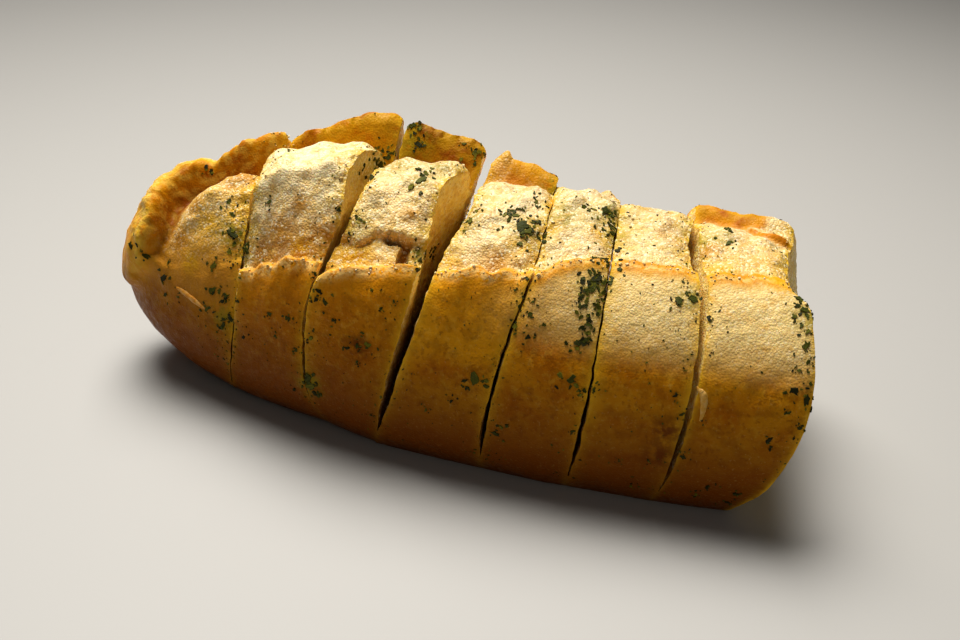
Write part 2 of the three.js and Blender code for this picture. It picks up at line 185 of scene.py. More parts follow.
SAWN_END = np.array((127, 12.2, -7, 5.6, 0, 3, 0, 0, 0, 0), dtype=CUTS.dtype)
SETBACK_SIDES, SETBACK_HEIGHTS = (-14, -9, -6, 16), (28, 38)

# Raggedness that the oven and the knife leave: millimetres, and degrees round the loaf for the lip
LIP_RAGGED_DEGREES, LIP_RAGGED_RISE = 0.9, 0.14
RAGGED_PITCHES = (2.6, 1.1)
RAGGED_LINES, RAGGED_STEPS, RAGGED_SEED = ("lip", "lip_rise", "ear", "ledge"), 400, 12
LEDGE = {"slice": 2, "angles": (-31.5, -28), "sway": 0.35, "edge": 0.45, "reach": 4.0, "step": 1.3}
CAVE_BAR = {"share": (0.47, 0.53, 0.78, 0.84), "below": 0.6, "height": 0.5, "roof": 0.5}
CAVE_SIDE = {"share": (0.70, 0.75, 0.80, 0.84), "foot": (0.8, 1.6), "roof": 0.6}
CAVE_DEPTH = 2.0
FLAP = {
    "slice": 6, "share": (0.48, 0.56), "insides": (3.5, 7.5), "turn": (0.48, 0.7), "half": 1.0, "rise": 0.9,
    "foot": (-0.3, 0.8),
}

ragged_draws = np.random.default_rng(RAGGED_SEED).normal(size=(len(RAGGED_LINES), RAGGED_STEPS))


def smooth(value, low, high):
    share = np.clip((value - low) / (high - low), 0, 1)
    return share * share * (3 - 2 * share)


def mix(a, b, share):
    return a + (b - a) * share


def bell(away, width):
    return np.exp(-((away / width) ** 2))


def along(line, station):
    """A smooth curve through (station, value) pairs."""
    places, values = np.array(line, float).T
    station = np.clip(station, places[0], places[-1])
    step = np.clip(np.searchsorted(places, station) - 1, 0, len(places) - 2)
    straight = (station - places[step]) / (places[step + 1] - places[step])
    return mix(values[step], values[step + 1], mix(straight, smooth(straight, 0, 1), CURVE_EASE))


def ragged(name, station):
    """A rough line along the loaf, from seeded draws at a coarse and a fine pitch."""
    drawn, line = ragged_draws[RAGGED_LINES.index(name)], 0
    for pitch in RAGGED_PITCHES:
        step = np.clip(station / pitch, 0, None)
        first = step.astype(int)
        height = mix(drawn[first], drawn[first + 1], smooth(step - first, 0, 1))
        line = line + height * pitch / RAGGED_PITCHES[0]
    return line


def body_at(station):
    """The plain loaf at a station."""
    to_tip = np.clip((WIDEST_STATION - station) / WIDEST_STATION, 0, 1)
    to_end = np.maximum(0, station - WIDEST_STATION) / FLARE_LENGTH
    lift = np.clip((UNDERSIDE_LIFT_LENGTH - station) / UNDERSIDE_LIFT_LENGTH, 0, 1)
    middle = mix(MIDDLE_HEIGHT, TIP_HEIGHT, to_tip ** TIP_LIFT_POWER)
    underside = middle * (1 - np.sqrt(1 - lift ** 2))
    base_share = mix(BASE_SHARE, TIP_BASE_SHARE, to_tip ** 2)
    hump = HUMP_RISE * bell(station - HUMP_STATION, HUMP_LENGTH)
    return {
        "half_width": HALF_WIDTH * np.sqrt(np.maximum(TINY, 1 - (to_tip + to_end) ** 2)),
        "rise": (CROWN_RISE + hump) * np.sqrt(np.maximum(TINY, 1 - to_tip ** TIP_FALL_POWER)),
        "drop": (middle - underside) / (1 - base_share ** SECTION_POWER) ** (1 / SECTION_POWER),
        "base_share": base_share,
        "middle": middle,
        "underside": underside,
        "side": TIP_SIDE_SHIFT * to_tip ** 2,
    }


def cut_x(cut, y, z):
    height = np.clip(z / CROWN_HEIGHT, 0, 1)
    slant = np.tan(np.radians(cut["lean"])) * z + np.tan(np.radians(cut["skew"])) * y
    turn = cut["sweep"] * height * smooth(y, *SWEEP_SIDES)
    torn = cut["setback"] * smooth(y, *SETBACK_SIDES[:2]) * (1 - smooth(y, *SETBACK_SIDES[2:]))
    torn = torn * smooth(z, *SETBACK_HEIGHTS)
    return cut["foot"] + slant + turn + cut["bow"] * 4 * height * (1 - height) - torn


def gap_at(cut, y, z):
    top = cut["gap_top"] - cut["pinch"] * smooth(y, *SWEEP_SIDES)
    top = top - cut["front_pinch"] * smooth(-y, *FRONT_PINCH_SIDES)
    return mix(cut["gap_foot"], top, z / CROWN_HEIGHT)


def slice_ends(index, y, z):
    """The x of a slice's left and right ends at a place in the section."""
    before = CUTS[np.maximum(index - 1, 0)]
    after = CUTS[np.minimum(index, len(CUTS) - 1)]
    left = cut_x(before, y, z) + gap_at(before, y, z) / 2 - OVERCUT
    right = cut_x(after, y, z) - gap_at(after, y, z) / 2 + OVERCUT
    return np.where(index > NUB, left, 0), np.where(index < len(CUTS), right, cut_x(SAWN_END, y, z))


def station_of(index, share):
    left, right = slice_ends(index, 0.0, MIDDLE_HEIGHT)
    return mix(left, right, share)


def slice_length(index):
    return station_of(index, 1.0) - station_of(index, 0.0)


def lip_angle(index, share, station):
    fall = SLICES["drop"][index] * np.exp(-share / LIP_DROP_SHARE)
    return along(LIP_LINE, station) - fall + LIP_RAGGED_DEGREES * ragged("lip", station)


def nearness(to_first, to_second, blend):
    return 1 / (1 + np.exp(np.clip((to_first - to_second) / blend, -FAR, FAR)))


def strip_at(index, share, station, angle, radius):
    """Where a place lies in the opened score: millimetres inside it, and how near to its edges."""
    from_lip = np.radians(angle - lip_angle(index, share, station)) * radius
    from_ear = np.radians(along(EAR_LINE, station) - angle) * radius
    from_start = station - STRIP_START
    from_fold = -STRIP_CORNER * np.logaddexp(-from_ear / STRIP_CORNER, -from_start / STRIP_CORNER)
    fold_near = nearness(from_fold, from_lip, STRIP_CORNER)
    ear_thickness = np.where(index == NUB, TIP_EAR_THICKNESS, EAR_THICKNESS)
    return {
        "from_lip": from_lip,
        "inside": np.minimum(from_lip, from_fold),
        "fold_near": fold_near,
        "start_near": nearness(from_start, from_ear, STRIP_CORNER),
        "thickness": mix(LIP_THICKNESS, ear_thickness, fold_near),
        "from_cut": np.minimum(np.where(index == NUB, np.inf, share), 1 - share) * slice_length(index),
    }


def under_ledge(share, station, angle):
    """Millimetres down the torn slice from the ledge across it."""
    ledge = mix(*LEDGE["angles"], share) + np.degrees(LEDGE["sway"] * ragged("ledge", station) / CROWN_RISE)
    return np.maximum(0, np.radians(ledge - angle) * CROWN_RISE)


def between(value, start, full, fading, end):
    """A mask that rises from start to full, and falls again from fading to end."""
    return smooth(value, start, full) * (1 - smooth(value, fading, end))


def torn_at(index, share, station, angle, strip):
    """Where the third slice is torn out under its ledge, and where a deeper cave opens there."""
    below = under_ledge(share, station, angle)
    within = (index == LEDGE["slice"]) * smooth(strip["from_lip"], 0, strip["thickness"])
    under = smooth(below, 0, LEDGE["edge"]) * within
    bar = bell(below - CAVE_BAR["below"], CAVE_BAR["height"])
    bar = bar * between(share, *CAVE_BAR["share"]) * smooth(below, 0, CAVE_BAR["roof"])
    side = smooth(strip["from_lip"], *CAVE_SIDE["foot"]) * smooth(below, 0, CAVE_SIDE["roof"])
    side = side * between(share, *CAVE_SIDE["share"])
    return under, np.maximum(bar, side) * within


def flap_at(index, share, strip):
    """Where a torn flap stands on the last slice, and the strip of crust along its foot."""
    foot = mix(*FLAP["insides"], smooth(share, *FLAP["turn"]))
    within = (index == FLAP["slice"]) * smooth(share, *FLAP["share"]) * strip["fold_near"]
    standing = (1 - smooth(strip["inside"] - foot, *FLAP["foot"])) * within
    return standing, bell(strip["inside"] - foot, FLAP["half"]) * within


def relief_at(index, share, station, angle, strip):
    """How far the skin stands above the plain loaf."""
    inside, fold_near, from_cut = strip["inside"], strip["fold_near"], strip["from_cut"]
    thickness = strip["thickness"]
    turns = station * 2 * np.pi
    wave = WAVE_SHARE * np.sin(turns / WAVE_LENGTH) * np.sin(turns / WAVE_SWING + WAVE_PHASE)
    corner = 1 - EAR_CORNER_SHARE * np.exp(-from_cut / EAR_CORNER_LENGTH)
    ear = SLICES["ear"][index] + SLICES["climb"][index] * (share - 0.5)
    ear = np.where(index == NUB, along(NUB_EAR, share), ear)
    spike = EAR_SPIKE["rise"] * bell(share - EAR_SPIKE["share"], EAR_SPIKE["width"])
    ear = (ear + np.where(index == EAR_SPIKE["slice"], spike, 0)) * corner
    ear = ear * mix(1, TIP_EAR_SHARE, strip["start_near"]) * (1 + wave * EAR_WAVE_SHARE)
    lip = SLICES["lip"][index] * (1 + wave)
    torn_lip = SLICES["lip"][index] * LIP_RAGGED_RISE * ragged("lip_rise", station) * (1 - fold_near)
    ear = ear + SLICES["fray"][index] * ragged("ear", station)
    edge = mix(lip, ear, fold_near)
    outside = edge * np.clip(1 + inside / mix(LIP_RAMP, EAR_RAMP, fold_near), 0, 1) ** RAMP_POWER
    curl = LIP_CURL * (1 - fold_near) * np.minimum(SLICES["lip"][index], 1)
    outside = outside - (curl - torn_lip) * np.exp(np.minimum(inside, 0) / LIP_CURL_LENGTH)
    edge = edge - curl + torn_lip
    lump = np.sin(turns / LUMP_ALONG) * np.sin(angle * 2 * np.pi / LUMP_ROUND + index)
    swell = SLICES["crumb"][index] + LUMP_RISE * lump
    groove = SLICES["groove"][index] * np.where(index == NUB, fold_near, 1)
    shoulder = mix(LIP_SHOULDER, SLICES["shoulder"][index], fold_near)
    crumb = mix(-groove, swell, smooth(inside, thickness, thickness + shoulder))
    under, cave = torn_at(index, share, station, angle, strip)
    torn = LEDGE["step"] * under * np.exp(-under_ledge(share, station, angle) / LEDGE["reach"])
    torn = torn + CAVE_DEPTH * cave - FLAP["rise"] * flap_at(index, share, strip)[0]
    within = mix(edge, crumb, smooth(inside, thickness * EDGE_CREST_SHARE, thickness)) - torn
    rounding = EDGE_ROUNDING * np.exp(-from_cut / EDGE_ROUNDING_LENGTH)
    softer = CRUMB_ROUNDING * np.exp(-((from_cut / CRUMB_ROUNDING_LENGTH) ** CRUMB_ROUNDING_POWER))
    on_crumb = smooth(inside, thickness * CRUMB_ROUNDING_FROM, thickness * CRUMB_ROUNDING_TO)
    rounding = rounding + softer * on_crumb
    return np.where(inside < 0, outside, within) - rounding


def section_radius(body, angle):
    across, up = np.sin(np.radians(angle)), np.cos(np.radians(angle))
    vertical = np.where(up > 0, body["rise"], body["drop"])
    fit = (np.abs(across) / body["half_width"]) ** SECTION_POWER + (np.abs(up) / vertical) ** SECTION_POWER
    return fit ** (-1 / SECTION_POWER)


def reach_at(index, share, station, angle, body):
    """How far the skin is from the middle of the section, and the strip there."""
    radius = section_radius(body, angle)
    strip = strip_at(index, share, station, angle, radius)
    upper = smooth(np.cos(np.radians(angle)), -RELIEF_FADE, RELIEF_FADE)
    return radius + upper * relief_at(index, share, station, angle, strip), strip


def skin_points(index, share, angle):
    """Places of the skin: share runs from a slice's left cut to its right one."""
    station = station_of(index, share)
    body = body_at(station)
    reach, _ = reach_at(index, share, station, angle, body)
    y = body["side"] + np.sin(np.radians(angle)) * reach
    z = np.maximum(body["underside"], body["middle"] + np.cos(np.radians(angle)) * reach)
    left, right = slice_ends(index, y, z)
    return np.stack([mix(left, right, share), y, z], axis=-1)


# Loaf
# One piece of bread: a thin golden crust over pale crumb, soaked with garlic butter along the cuts.
# It is lofted from the form above, cut by six blades down to the bottom crust, then roughened.
SECTIONS_PER_SLICE, SECTIONS_IN_TIP = 40, 64
LIP_REACH, EAR_REACH = (-5, 3.6), (4.4, -11)
COLUMN_COUNTS = (9, 74, 20, 62, 34, 32, 9)
END_RINGS = 22
BLADE_REACH, BLADE_TOP = 34, 60
BLADE_COLUMNS, BLADE_ROWS = 40, 36
WIDE_BLADE, WIDE_BLADE_STEPS = 2, 2
BLADE_ROUGHNESS, BLADE_ROUGH_PITCH, BLADE_BITE_SHARE = 0.25, 2.4, 0.3
BLADE_NOISE = {"H": 0.7, "lacunarity": 2.0, "octaves": 3}
BLADE_NOISE_MOST, BLADE_NOISE_RISE = 1.5, 5
BLADE_TIP_SHARE, BLADE_TAPER = 0.2, 8
BLADE_NOISE_STEPS = {"cut": 40, "left": 1, "right": 19}
SMOOTH_ANGLE = math.radians(60)
LEAST_MASK, RESTING_MM = 0.01, 0.3
loaf_low, loaf_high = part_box("loaf")
row_shift = np.array([loaf_low.x, loaf_high.y - HALF_WIDTH * MM, loaf_low.z])


def to_row(points):
    """Millimetres of the form to metres of the row frame."""
    return np.asarray(points) * MM + row_shift


def pick(piece):
    bpy.ops.object.select_all(action="DESELECT")
    piece.select_set(True)
    bpy.context.view_layer.objects.active = piece


def new_piece(name, points, faces):
    mesh = bpy.data.meshes.new(name)
    mesh.from_pydata(np.asarray(points).tolist(), [], faces)
    piece = bpy.data.objects.new(name, mesh)
    bpy.context.scene.collection.objects.link(piece)
    return piece


def finish_with(piece, kind, **settings):
    """Adds a modifier with these settings and applies it."""
    pick(piece)
    modifier = piece.modifiers.new(kind.lower(), kind)
    for name, value in settings.items():
        setattr(modifier, name, value)
    bpy.ops.object.modifier_apply(modifier=modifier.name)


def point_outwards(piece):
    pick(piece)
    bpy.ops.object.mode_set(mode="EDIT")
    bpy.ops.mesh.select_all(action="SELECT")
    bpy.ops.mesh.normals_make_consistent(inside=False)
    bpy.ops.object.mode_set(mode="OBJECT")


def band_faces(rows, columns, closed):
    """Quads between neighbouring rows of points, closed round the columns or not."""
    row, column = np.mgrid[0:rows - 1, 0:columns if closed else columns - 1]
    beside = (column + 1) % columns
    corners = [row * columns + column, row * columns + beside]
    corners += [(row + 1) * columns + beside, (row + 1) * columns + column]
    return np.stack(corners, axis=-1).reshape(-1, 4)


def uncut_loaf():
    """Rings of skin from the tip to the sawn end, and rings across the sawn face to its middle."""
    index, share = [], []
    for number in range(len(SLICES)):
        if number == NUB:
            spaced = 1 - np.cos(np.linspace(0, 1, SECTIONS_IN_TIP)[1:] * np.pi / 2)
        else:
            spaced = smooth(np.linspace(0, 1, SECTIONS_PER_SLICE), 0, 1)
        share.extend(spaced)
        index.extend([number] * len(spaced))
    index, share = np.array(index), np.array(share)
    station = station_of(index, share)
    body = body_at(station)
    base_half = body["half_width"] * body["base_share"]
    corner = 180 - np.degrees(np.arctan2(base_half, body["middle"] - body["underside"]))
    per_mm = np.degrees(1 / np.maximum(body["half_width"], body["rise"]))
    lip, ear = lip_angle(index, share, station), along(EAR_LINE, station)
    breaks = [np.full_like(lip, -180), -corner, lip + LIP_REACH[0] * per_mm, lip + LIP_REACH[1] * per_mm]
    breaks += [ear - EAR_REACH[0] * per_mm, ear - EAR_REACH[1] * per_mm, corner, np.full_like(lip, 180)]
    angles = np.concatenate([
        mix(start[:, None], end[:, None], np.arange(count) / count)
        for start, end, count in zip(breaks[:-1], breaks[1:], COLUMN_COUNTS)
    ], axis=1)
    rings = skin_points(index[:, None], share[:, None], angles)
    columns = angles.shape[1]
    middle = rings[-1].mean(axis=0)
    inner = np.array([mix(rings[-1], middle, step / END_RINGS) for step in range(1, END_RINGS)])
    inner[..., 0] = cut_x(SAWN_END, inner[..., 1], inner[..., 2])
    middle[0] = cut_x(SAWN_END, middle[1], middle[2])
    rings = np.concatenate([rings, inner])
    points = np.concatenate([rings.reshape(-1, 3), [(0, TIP_SIDE_SHIFT, TIP_HEIGHT), middle]])
    faces = band_faces(len(rings), columns, True).tolist()
    tip, last = len(points) - 2, (len(rings) - 1) * columns
    for side in range(columns):
        beside = (side + 1) % columns
        faces.append((tip, beside, side))
        faces.append((tip + 1, last + side, last + beside))
    return new_piece("bread", to_row(points), faces)


def blade(number):
    """The space that one knife cut leaves: two rough walls, closed round their borders."""
    cut = CUTS[number]
    finer = WIDE_BLADE_STEPS if number == WIDE_BLADE else 1
    columns, rows = BLADE_COLUMNS * finer, BLADE_ROWS * finer
    y, z = np.meshgrid(
        np.linspace(-BLADE_REACH, BLADE_REACH, columns),
        np.linspace(HINGE_HEIGHT, BLADE_TOP, rows),
    )

    def rough(layer):
        level = BLADE_NOISE_STEPS["cut"] * number + layer
        places = (Vector((a, b, level)) / BLADE_ROUGH_PITCH for a, b in zip(y.ravel(), z.ravel()))
        heights = [noise.fractal(place, *BLADE_NOISE.values()) for place in places]
        heights = np.clip(np.reshape(heights, y.shape), -BLADE_NOISE_MOST, BLADE_NOISE_MOST)
        return heights * smooth(z, HINGE_HEIGHT, HINGE_HEIGHT + BLADE_NOISE_RISE)

    walls = []
    gap = gap_at(cut, y, z)
    gap = gap * mix(BLADE_TIP_SHARE, 1, smooth(z, HINGE_HEIGHT, HINGE_HEIGHT + BLADE_TAPER))
    swerve = rough(0) * BLADE_ROUGHNESS
    deepest = np.minimum(gap * BLADE_BITE_SHARE, BLADE_ROUGHNESS)
    for side, layer in ((-1, BLADE_NOISE_STEPS["left"]), (1, BLADE_NOISE_STEPS["right"])):
        bite = np.maximum(rough(layer), 0) * deepest
        x = cut_x(cut, y, z) + swerve + side * (gap / 2 + bite)
        walls.append(np.stack([x, y, z], axis=-1).reshape(-1, 3))
    near = band_faces(rows, columns, False)
    count = rows * columns
    border = list(range(columns)) + [row * columns + columns - 1 for row in range(1, rows)]
    border += [count - 2 - step for step in range(columns - 1)]
    border += [row * columns for row in range(rows - 2, 0, -1)]
    round_border = [(a, b, b + count, a + count) for a, b in zip(border, border[1:] + border[:1])]
    faces = near[:, ::-1].tolist() + (near + count).tolist() + round_border
    return new_piece(f"blade_{number}", to_row(np.concatenate(walls)), faces)


loaf = uncut_loaf()
point_outwards(loaf)
for number in range(len(CUTS)):
    cutter = blade(number)
    point_outwards(cutter)
    finish_with(loaf, "BOOLEAN", object=cutter, operation="DIFFERENCE", solver="MANIFOLD")
    bpy.data.objects.remove(cutter)


# What shows on each slice: buttered crumb and how far up it goes, browned fold, painted shade at its foot
# and painted shade over all of it, deeply baked crust, crumb browned by toasting, duller crumb, painted light
# on the crumb, orange lip and torn crest in millimetres
LOOK_FIELDS = (
    "soak", "soak_reach", "fold", "foot", "shade", "deep", "toast", "dull", "painted_crumb_light", "lip", "crest",
)
SLICE_LOOKS = np.array([
    (1.0, 30, 1.0, 1.0, 0, 0.4, 1.0, 0, 0, 0.6, 1.0),
    (1.0, 10, 1.0, 0.6, 0.2, 0.8, 0.15, 0, 1.0, 1.0, 1.1),
    (1.0, 10, 1.0, 1.0, 0.9, 0.6, 0.3, 0.3, 0, 1.0, 1.0),
    (0.5, 5, 0.9, 0.5, 0, 0.0, 0.4, 0.5, 0, 1.0, 0.8),
    (0.3, 5, 0.12, 0.0, 0, 0.3, 0.3, 0.8, 0, 0.7, 0.6),
    (0.25, 5, 0.12, 0.0, 0, 0.2, 0.45, 0.8, 0, 0.4, 0.6),
    (0.6, 9, 1.0, 0.0, 0, 0.1, 0.5, 1.0, 0, 0.35, 0.6),
], dtype=[(name, float) for name in LOOK_FIELDS])
BASE_MARGIN, SAWN_FROM = 0.05, 0.5
CUT_DEPTHS = (0.12, 0.5)
TOP_FADE = (-0.1, 0.2)
CRUMB_EDGE_SHARE = 0.55
NUB_CRUMB_RISE, NUB_CRUMB_START = 13, -4
FOLD_RISE, FOLD_DEPTH, LAST_FOLD_DEPTH, FOLD_FADE = 0.3, 1.1, 0.8, 1.4
FLAP_SHARES, FLAP_TOP, FLAP_FADE = (0.62, 0.74), (-2, -0.8), 1.2
SPIKE_FOLD, SPIKE_SHARES = 0.55, (0.2, 0.35)
RIM_WIDTH, EDGE_WIDTH = 0.8, 2.6
LOW_RIM, RIM_HEIGHTS = 0.15, (6, 26)
LIP_GLOW, CREST_BELOW_LIP = 3.2, 0.2
BROW_INSIDE, BROW_WIDTH = 0.5, 1.4
KNOB_WIDTH = 4.0
GILT_SHARES = (0.42, 0.55)
PAINTED_LIGHT_FROM_LIP = (6, 13)
BROWN_AND_SHADE_HEIGHTS, CUT_SHADE_HEIGHTS = (38, 5), (28, 10)
CUT_LIGHT_DEPTH, CUT_LIGHT_HEIGHTS = 8, (20, 36)
BUTTERED_DEPTHS = (9, 1)
WARM_GAIN = 2.4
END_PALE = {"stations": (72, 106), "angles": (-66, -45), "below_lip": (0.6, 3.6)}
NUB_PALE = {"most": 0.08, "angles": (-80, -56)}
REAR_PALE = {"most": 0.3, "angles": (105, 62), "below_ear": (2, 7)}


def pale_at(index, station, angle, strip):
    """Where flour and steam left the crust pale: towards the sawn end, on the nub and at the rear."""
    end = smooth(station, *END_PALE["stations"]) * smooth(angle, *END_PALE["angles"])
    end = end * smooth(-strip["from_lip"], *END_PALE["below_lip"])
    nub = NUB_PALE["most"] * (index == NUB) * smooth(angle, *NUB_PALE["angles"]) * (1 - strip["fold_near"])
    rear = REAR_PALE["most"] * smooth(angle, *REAR_PALE["angles"]) * (angle > 0)
    rear = rear * smooth(-strip["inside"], *REAR_PALE["below_ear"])
    return np.maximum.reduce([end, nub, rear])


def zones_of(places):
    """What each place of the cut loaf is: masks from 0 to 1, from where it lies in the form."""
    x, y, z = places.T
    index = sum((x > cut_x(cut, y, z)).astype(int) for cut in CUTS)
    left, right = slice_ends(index, y, z)
    share = np.clip((x - left) / (right - left), 0, 1)
    station = station_of(index, share)
    body = body_at(station)
    angle = np.degrees(np.arctan2(y - body["side"], z - body["middle"]))
    reach, strip = reach_at(index, share, station, angle, body)
    inside, thickness, fold_near = strip["inside"], strip["thickness"], strip["fold_near"]
    from_lip, from_cut = strip["from_lip"], strip["from_cut"]
    looks = SLICE_LOOKS[index]

    above_base = z > body["underside"] + BASE_MARGIN
    depth = np.where(above_base, reach - np.hypot(y - body["side"], z - body["middle"]), 0)
    cut = smooth(depth, *CUT_DEPTHS)
    on_top = smooth(np.cos(np.radians(angle)), *TOP_FADE)
    skin = on_top * (1 - cut)
    crumb = smooth(inside, thickness * CRUMB_EDGE_SHARE, thickness)
    nub_crumb = smooth(from_lip, 0, NUB_CRUMB_RISE) * smooth(inside, NUB_CRUMB_START, thickness)
    crumb = np.where(index == NUB, nub_crumb, crumb) * on_top

    fold_depth = thickness * np.where(index == FLAP["slice"], LAST_FOLD_DEPTH, FOLD_DEPTH)
    fold = fold_near * between(inside, 0, thickness * FOLD_RISE, fold_depth, fold_depth * FOLD_FADE)
    standing, flap_foot = flap_at(index, share, strip)
    flapped = (index == FLAP["slice"]) * smooth(share, *FLAP_SHARES)
    fold = np.maximum(fold * (1 - standing * flapped), flap_foot)
    flap = flapped * between(inside, *FLAP_TOP, thickness, thickness * FLAP_FADE) * (angle > 0) * on_top
    spiked = mix(SPIKE_FOLD, 1, smooth(share, *SPIKE_SHARES))
    browned = looks["fold"] * np.where(index == EAR_SPIKE["slice"], spiked, 1)
    foot = fold_near * smooth(inside, thickness * FOLD_RISE, thickness * FOLD_DEPTH)
    under, cave = torn_at(index, share, station, angle, strip)
    crest = bell(from_lip + CREST_BELOW_LIP, looks["crest"])
    lip_glow = LIP_GLOW * looks["lip"]
    pale = pale_at(index, station, angle, strip)
    sawn = (index == len(CUTS)) & (share > SAWN_FROM)
    buttered = np.where(sawn, 1, mix(LOW_RIM, 1, smooth(z, *RIM_HEIGHTS)))
    return {
        "cut": cut,
        "crumb": np.maximum(np.maximum(crumb, flap) * (1 - fold), fold * (1 - browned)) * (1 - cut),
        "fold": fold * browned * skin,
        "rim": np.exp(-from_cut / RIM_WIDTH) * (1 - cut) * above_base * buttered,
        "edge": np.exp(-from_cut / EDGE_WIDTH),
        "lip": np.exp(np.minimum(from_lip, 0) / lip_glow) * (1 - crumb) * skin * looks["lip"],
        "crest": crest * skin * (1 - fold_near) * (index > NUB),
        "brow": np.exp(-np.abs(inside - BROW_INSIDE) / BROW_WIDTH) * fold_near * skin,
        "knob": np.exp(-np.abs(inside) / KNOB_WIDTH) * fold_near * skin * (index == NUB),
        "soak": np.exp(-np.maximum(from_lip, 0) / looks["soak_reach"]) * looks["soak"],
        # Painted shade at the fold's foot, and over the whole folds of the second and third slices
        "foot": np.maximum(foot * looks["foot"], looks["shade"]),
        "gilt": under * (1 - smooth(share, *GILT_SHARES)),
        # Painted shade in the cave under the third slice's ledge
        "cave": cave,
        # Darker towards the bottom: partly browned crust, partly painted shade
        "low": smooth(z, *BROWN_AND_SHADE_HEIGHTS),
        "deep": looks["deep"],
        "toast": looks["toast"],
        "dull": looks["dull"],
        # Painted light: the second slice's upper crumb is painted paler than the lamp lights it
        "painted_crumb_light": looks["painted_crumb_light"] * smooth(from_lip, *PAINTED_LIGHT_FROM_LIP),
        # Painted light on the cut walls near the skin and high up, where light falls into the gaps
        "painted_cut_light": np.exp(-np.maximum(depth, 0) / CUT_LIGHT_DEPTH) * smooth(z, *CUT_LIGHT_HEIGHTS),
        # Painted shade on the cut walls low down inside the gaps, except on the sawn end
        "inner": smooth(z, *CUT_SHADE_HEIGHTS) * ~sawn,
        "buttered": smooth(depth, *BUTTERED_DEPTHS) * sawn,
        "pale": pale,
        "warm": np.minimum(1, WARM_GAIN * pale) * (angle < 0),
    }


def vertex_places(piece):
    places = np.empty(len(piece.data.vertices) * 3)
    piece.data.vertices.foreach_get("co", places)
    return places.reshape(-1, 3)


def paint(piece, name, values):
    """Stores one number for each vertex, for the material to read."""
    attribute = piece.data.attributes.new(name, "FLOAT", "POINT")
    attribute.data.foreach_set("value", np.asarray(values, np.float32))


def roughen(piece, size, height, mask, detail):
    """Displaces a piece by cloudy noise, as far as the mask of each vertex lets it."""
    group = piece.vertex_groups.new(name="rough")
    for number in np.flatnonzero(mask > LEAST_MASK):
        group.add([int(number)], float(mask[number]), "REPLACE")
    texture = bpy.data.textures.new("rough", "CLOUDS")
    texture.noise_scale = size * MM
    texture.noise_depth = detail
    finish_with(
        piece, "DISPLACE", texture=texture, texture_coords="LOCAL", strength=height * MM,
        mid_level=0.5, vertex_group=group.name,
    )
    piece.vertex_groups.clear()


# Where the loaf is rough, how far apart and how high the lumps are in millimetres, and their depth of detail
ROUGH_PASSES = [
    ("crust", 7.0, 0.6, 1), ("crust", 2.2, 0.3, 2), ("crumb", 4.0, 1.1, 2), ("soft", 1.4, 0.6, 2),
    ("crest", 0.9, 0.5, 1), ("fold", 2.6, 0.9, 2), ("knob", 3.2, 2.0, 2), ("knob", 1.8, 0.7, 1),
]
zones = zones_of((vertex_places(loaf) - row_shift) / MM)
soft = np.maximum(zones["crumb"], zones["cut"])
crust = np.clip(1 - soft, 0, 1) * (vertex_places(loaf)[:, 2] > RESTING_MM * MM)
rough_masks = {**zones, "soft": soft, "crust": crust}
for name, size, height, detail in ROUGH_PASSES:
    roughen(loaf, size, height, rough_masks[name], detail)
for name, values in zones.items():
    paint(loaf, name, values)
pick(loaf)
bpy.ops.object.shade_smooth_by_angle(angle=SMOOTH_ANGLE)

surface = BVHTree.FromPolygons(
    [vertex.co for vertex in loaf.data.vertices], [tuple(face.vertices) for face in loaf.data.polygons]
)
FOCAL_PIXELS = LENS_MM / SENSOR_MM * PICTURE_WIDTH


def seen_at(across, down):
    """The place on the loaf behind a pixel of the picture, and the way out of its surface."""
    ray = Vector((across - PICTURE_WIDTH / 2, PICTURE_HEIGHT / 2 - down, -FOCAL_PIXELS))
    return surface.ray_cast(camera.location, (facing @ ray).normalized())[:2]


# Blotches, each by pixel across, pixel down and radius in mm: herb butter where the flakes lie thick,
# hollows full of butter, crumb browned by toasting with two blotches of painted shade in a hollow by the
# nub's ear, and dark brown blotches, two of them painted shade low by the sixth cut
BLOTCHES = {
    "stain": [
        (232, 233, 3.2), (246, 252, 2.5), (380, 165, 4.5), (357, 222, 2.6), (526, 228, 4.0), (607, 213, 4.5),
        (595, 285, 3.2), (470, 219, 2.4), (309, 382, 2.6), (420, 180, 2.6), (224, 318, 2.6), (613, 236, 3.0),
        (556, 190, 3.0), (415, 140, 3.5), (418, 258, 3.0), (566, 215, 4.0), (690, 298, 2.5), (808, 315, 3.0),
        (705, 240, 3.0), (722, 236, 2.6), (400, 168, 4.0), (440, 165, 3.0),
    ],
    "pocket": [
        (209, 222, 2.2), (232, 211, 2.4), (190, 262, 2.0), (520, 247, 2.4), (553, 228, 1.6), (724, 268, 2.6),
        (355, 258, 2.6), (598, 232, 1.8), (692, 246, 2.0), (780, 282, 2.4), (448, 262, 2.2), (300, 250, 2.0),
    ],
    # Crumb browned by toasting; the two at (243, 176) and (231, 184) are painted shade in a hollow by the
    # nub's ear
    "toasted_and_shaded": [
        (281, 235, 4.6), (262, 252, 3.4), (312, 240, 3.6), (300, 205, 2.2), (195, 205, 2.6), (180, 240, 3.0),
        (243, 176, 3.0), (231, 184, 2.2), (500, 262, 2.6), (412, 214, 1.8), (300, 246, 3.4), (322, 232, 3.0),
        (190, 280, 4.0), (215, 285, 4.0), (165, 274, 3.4), (708, 250, 2.6),
    ],
    # Dark brown blotches; the two at (668, 432) and (661, 456) are painted shade low by the sixth cut
    "darkened": [(357, 346, 2.4), (668, 432, 3.4), (661, 456, 3.4)],
}


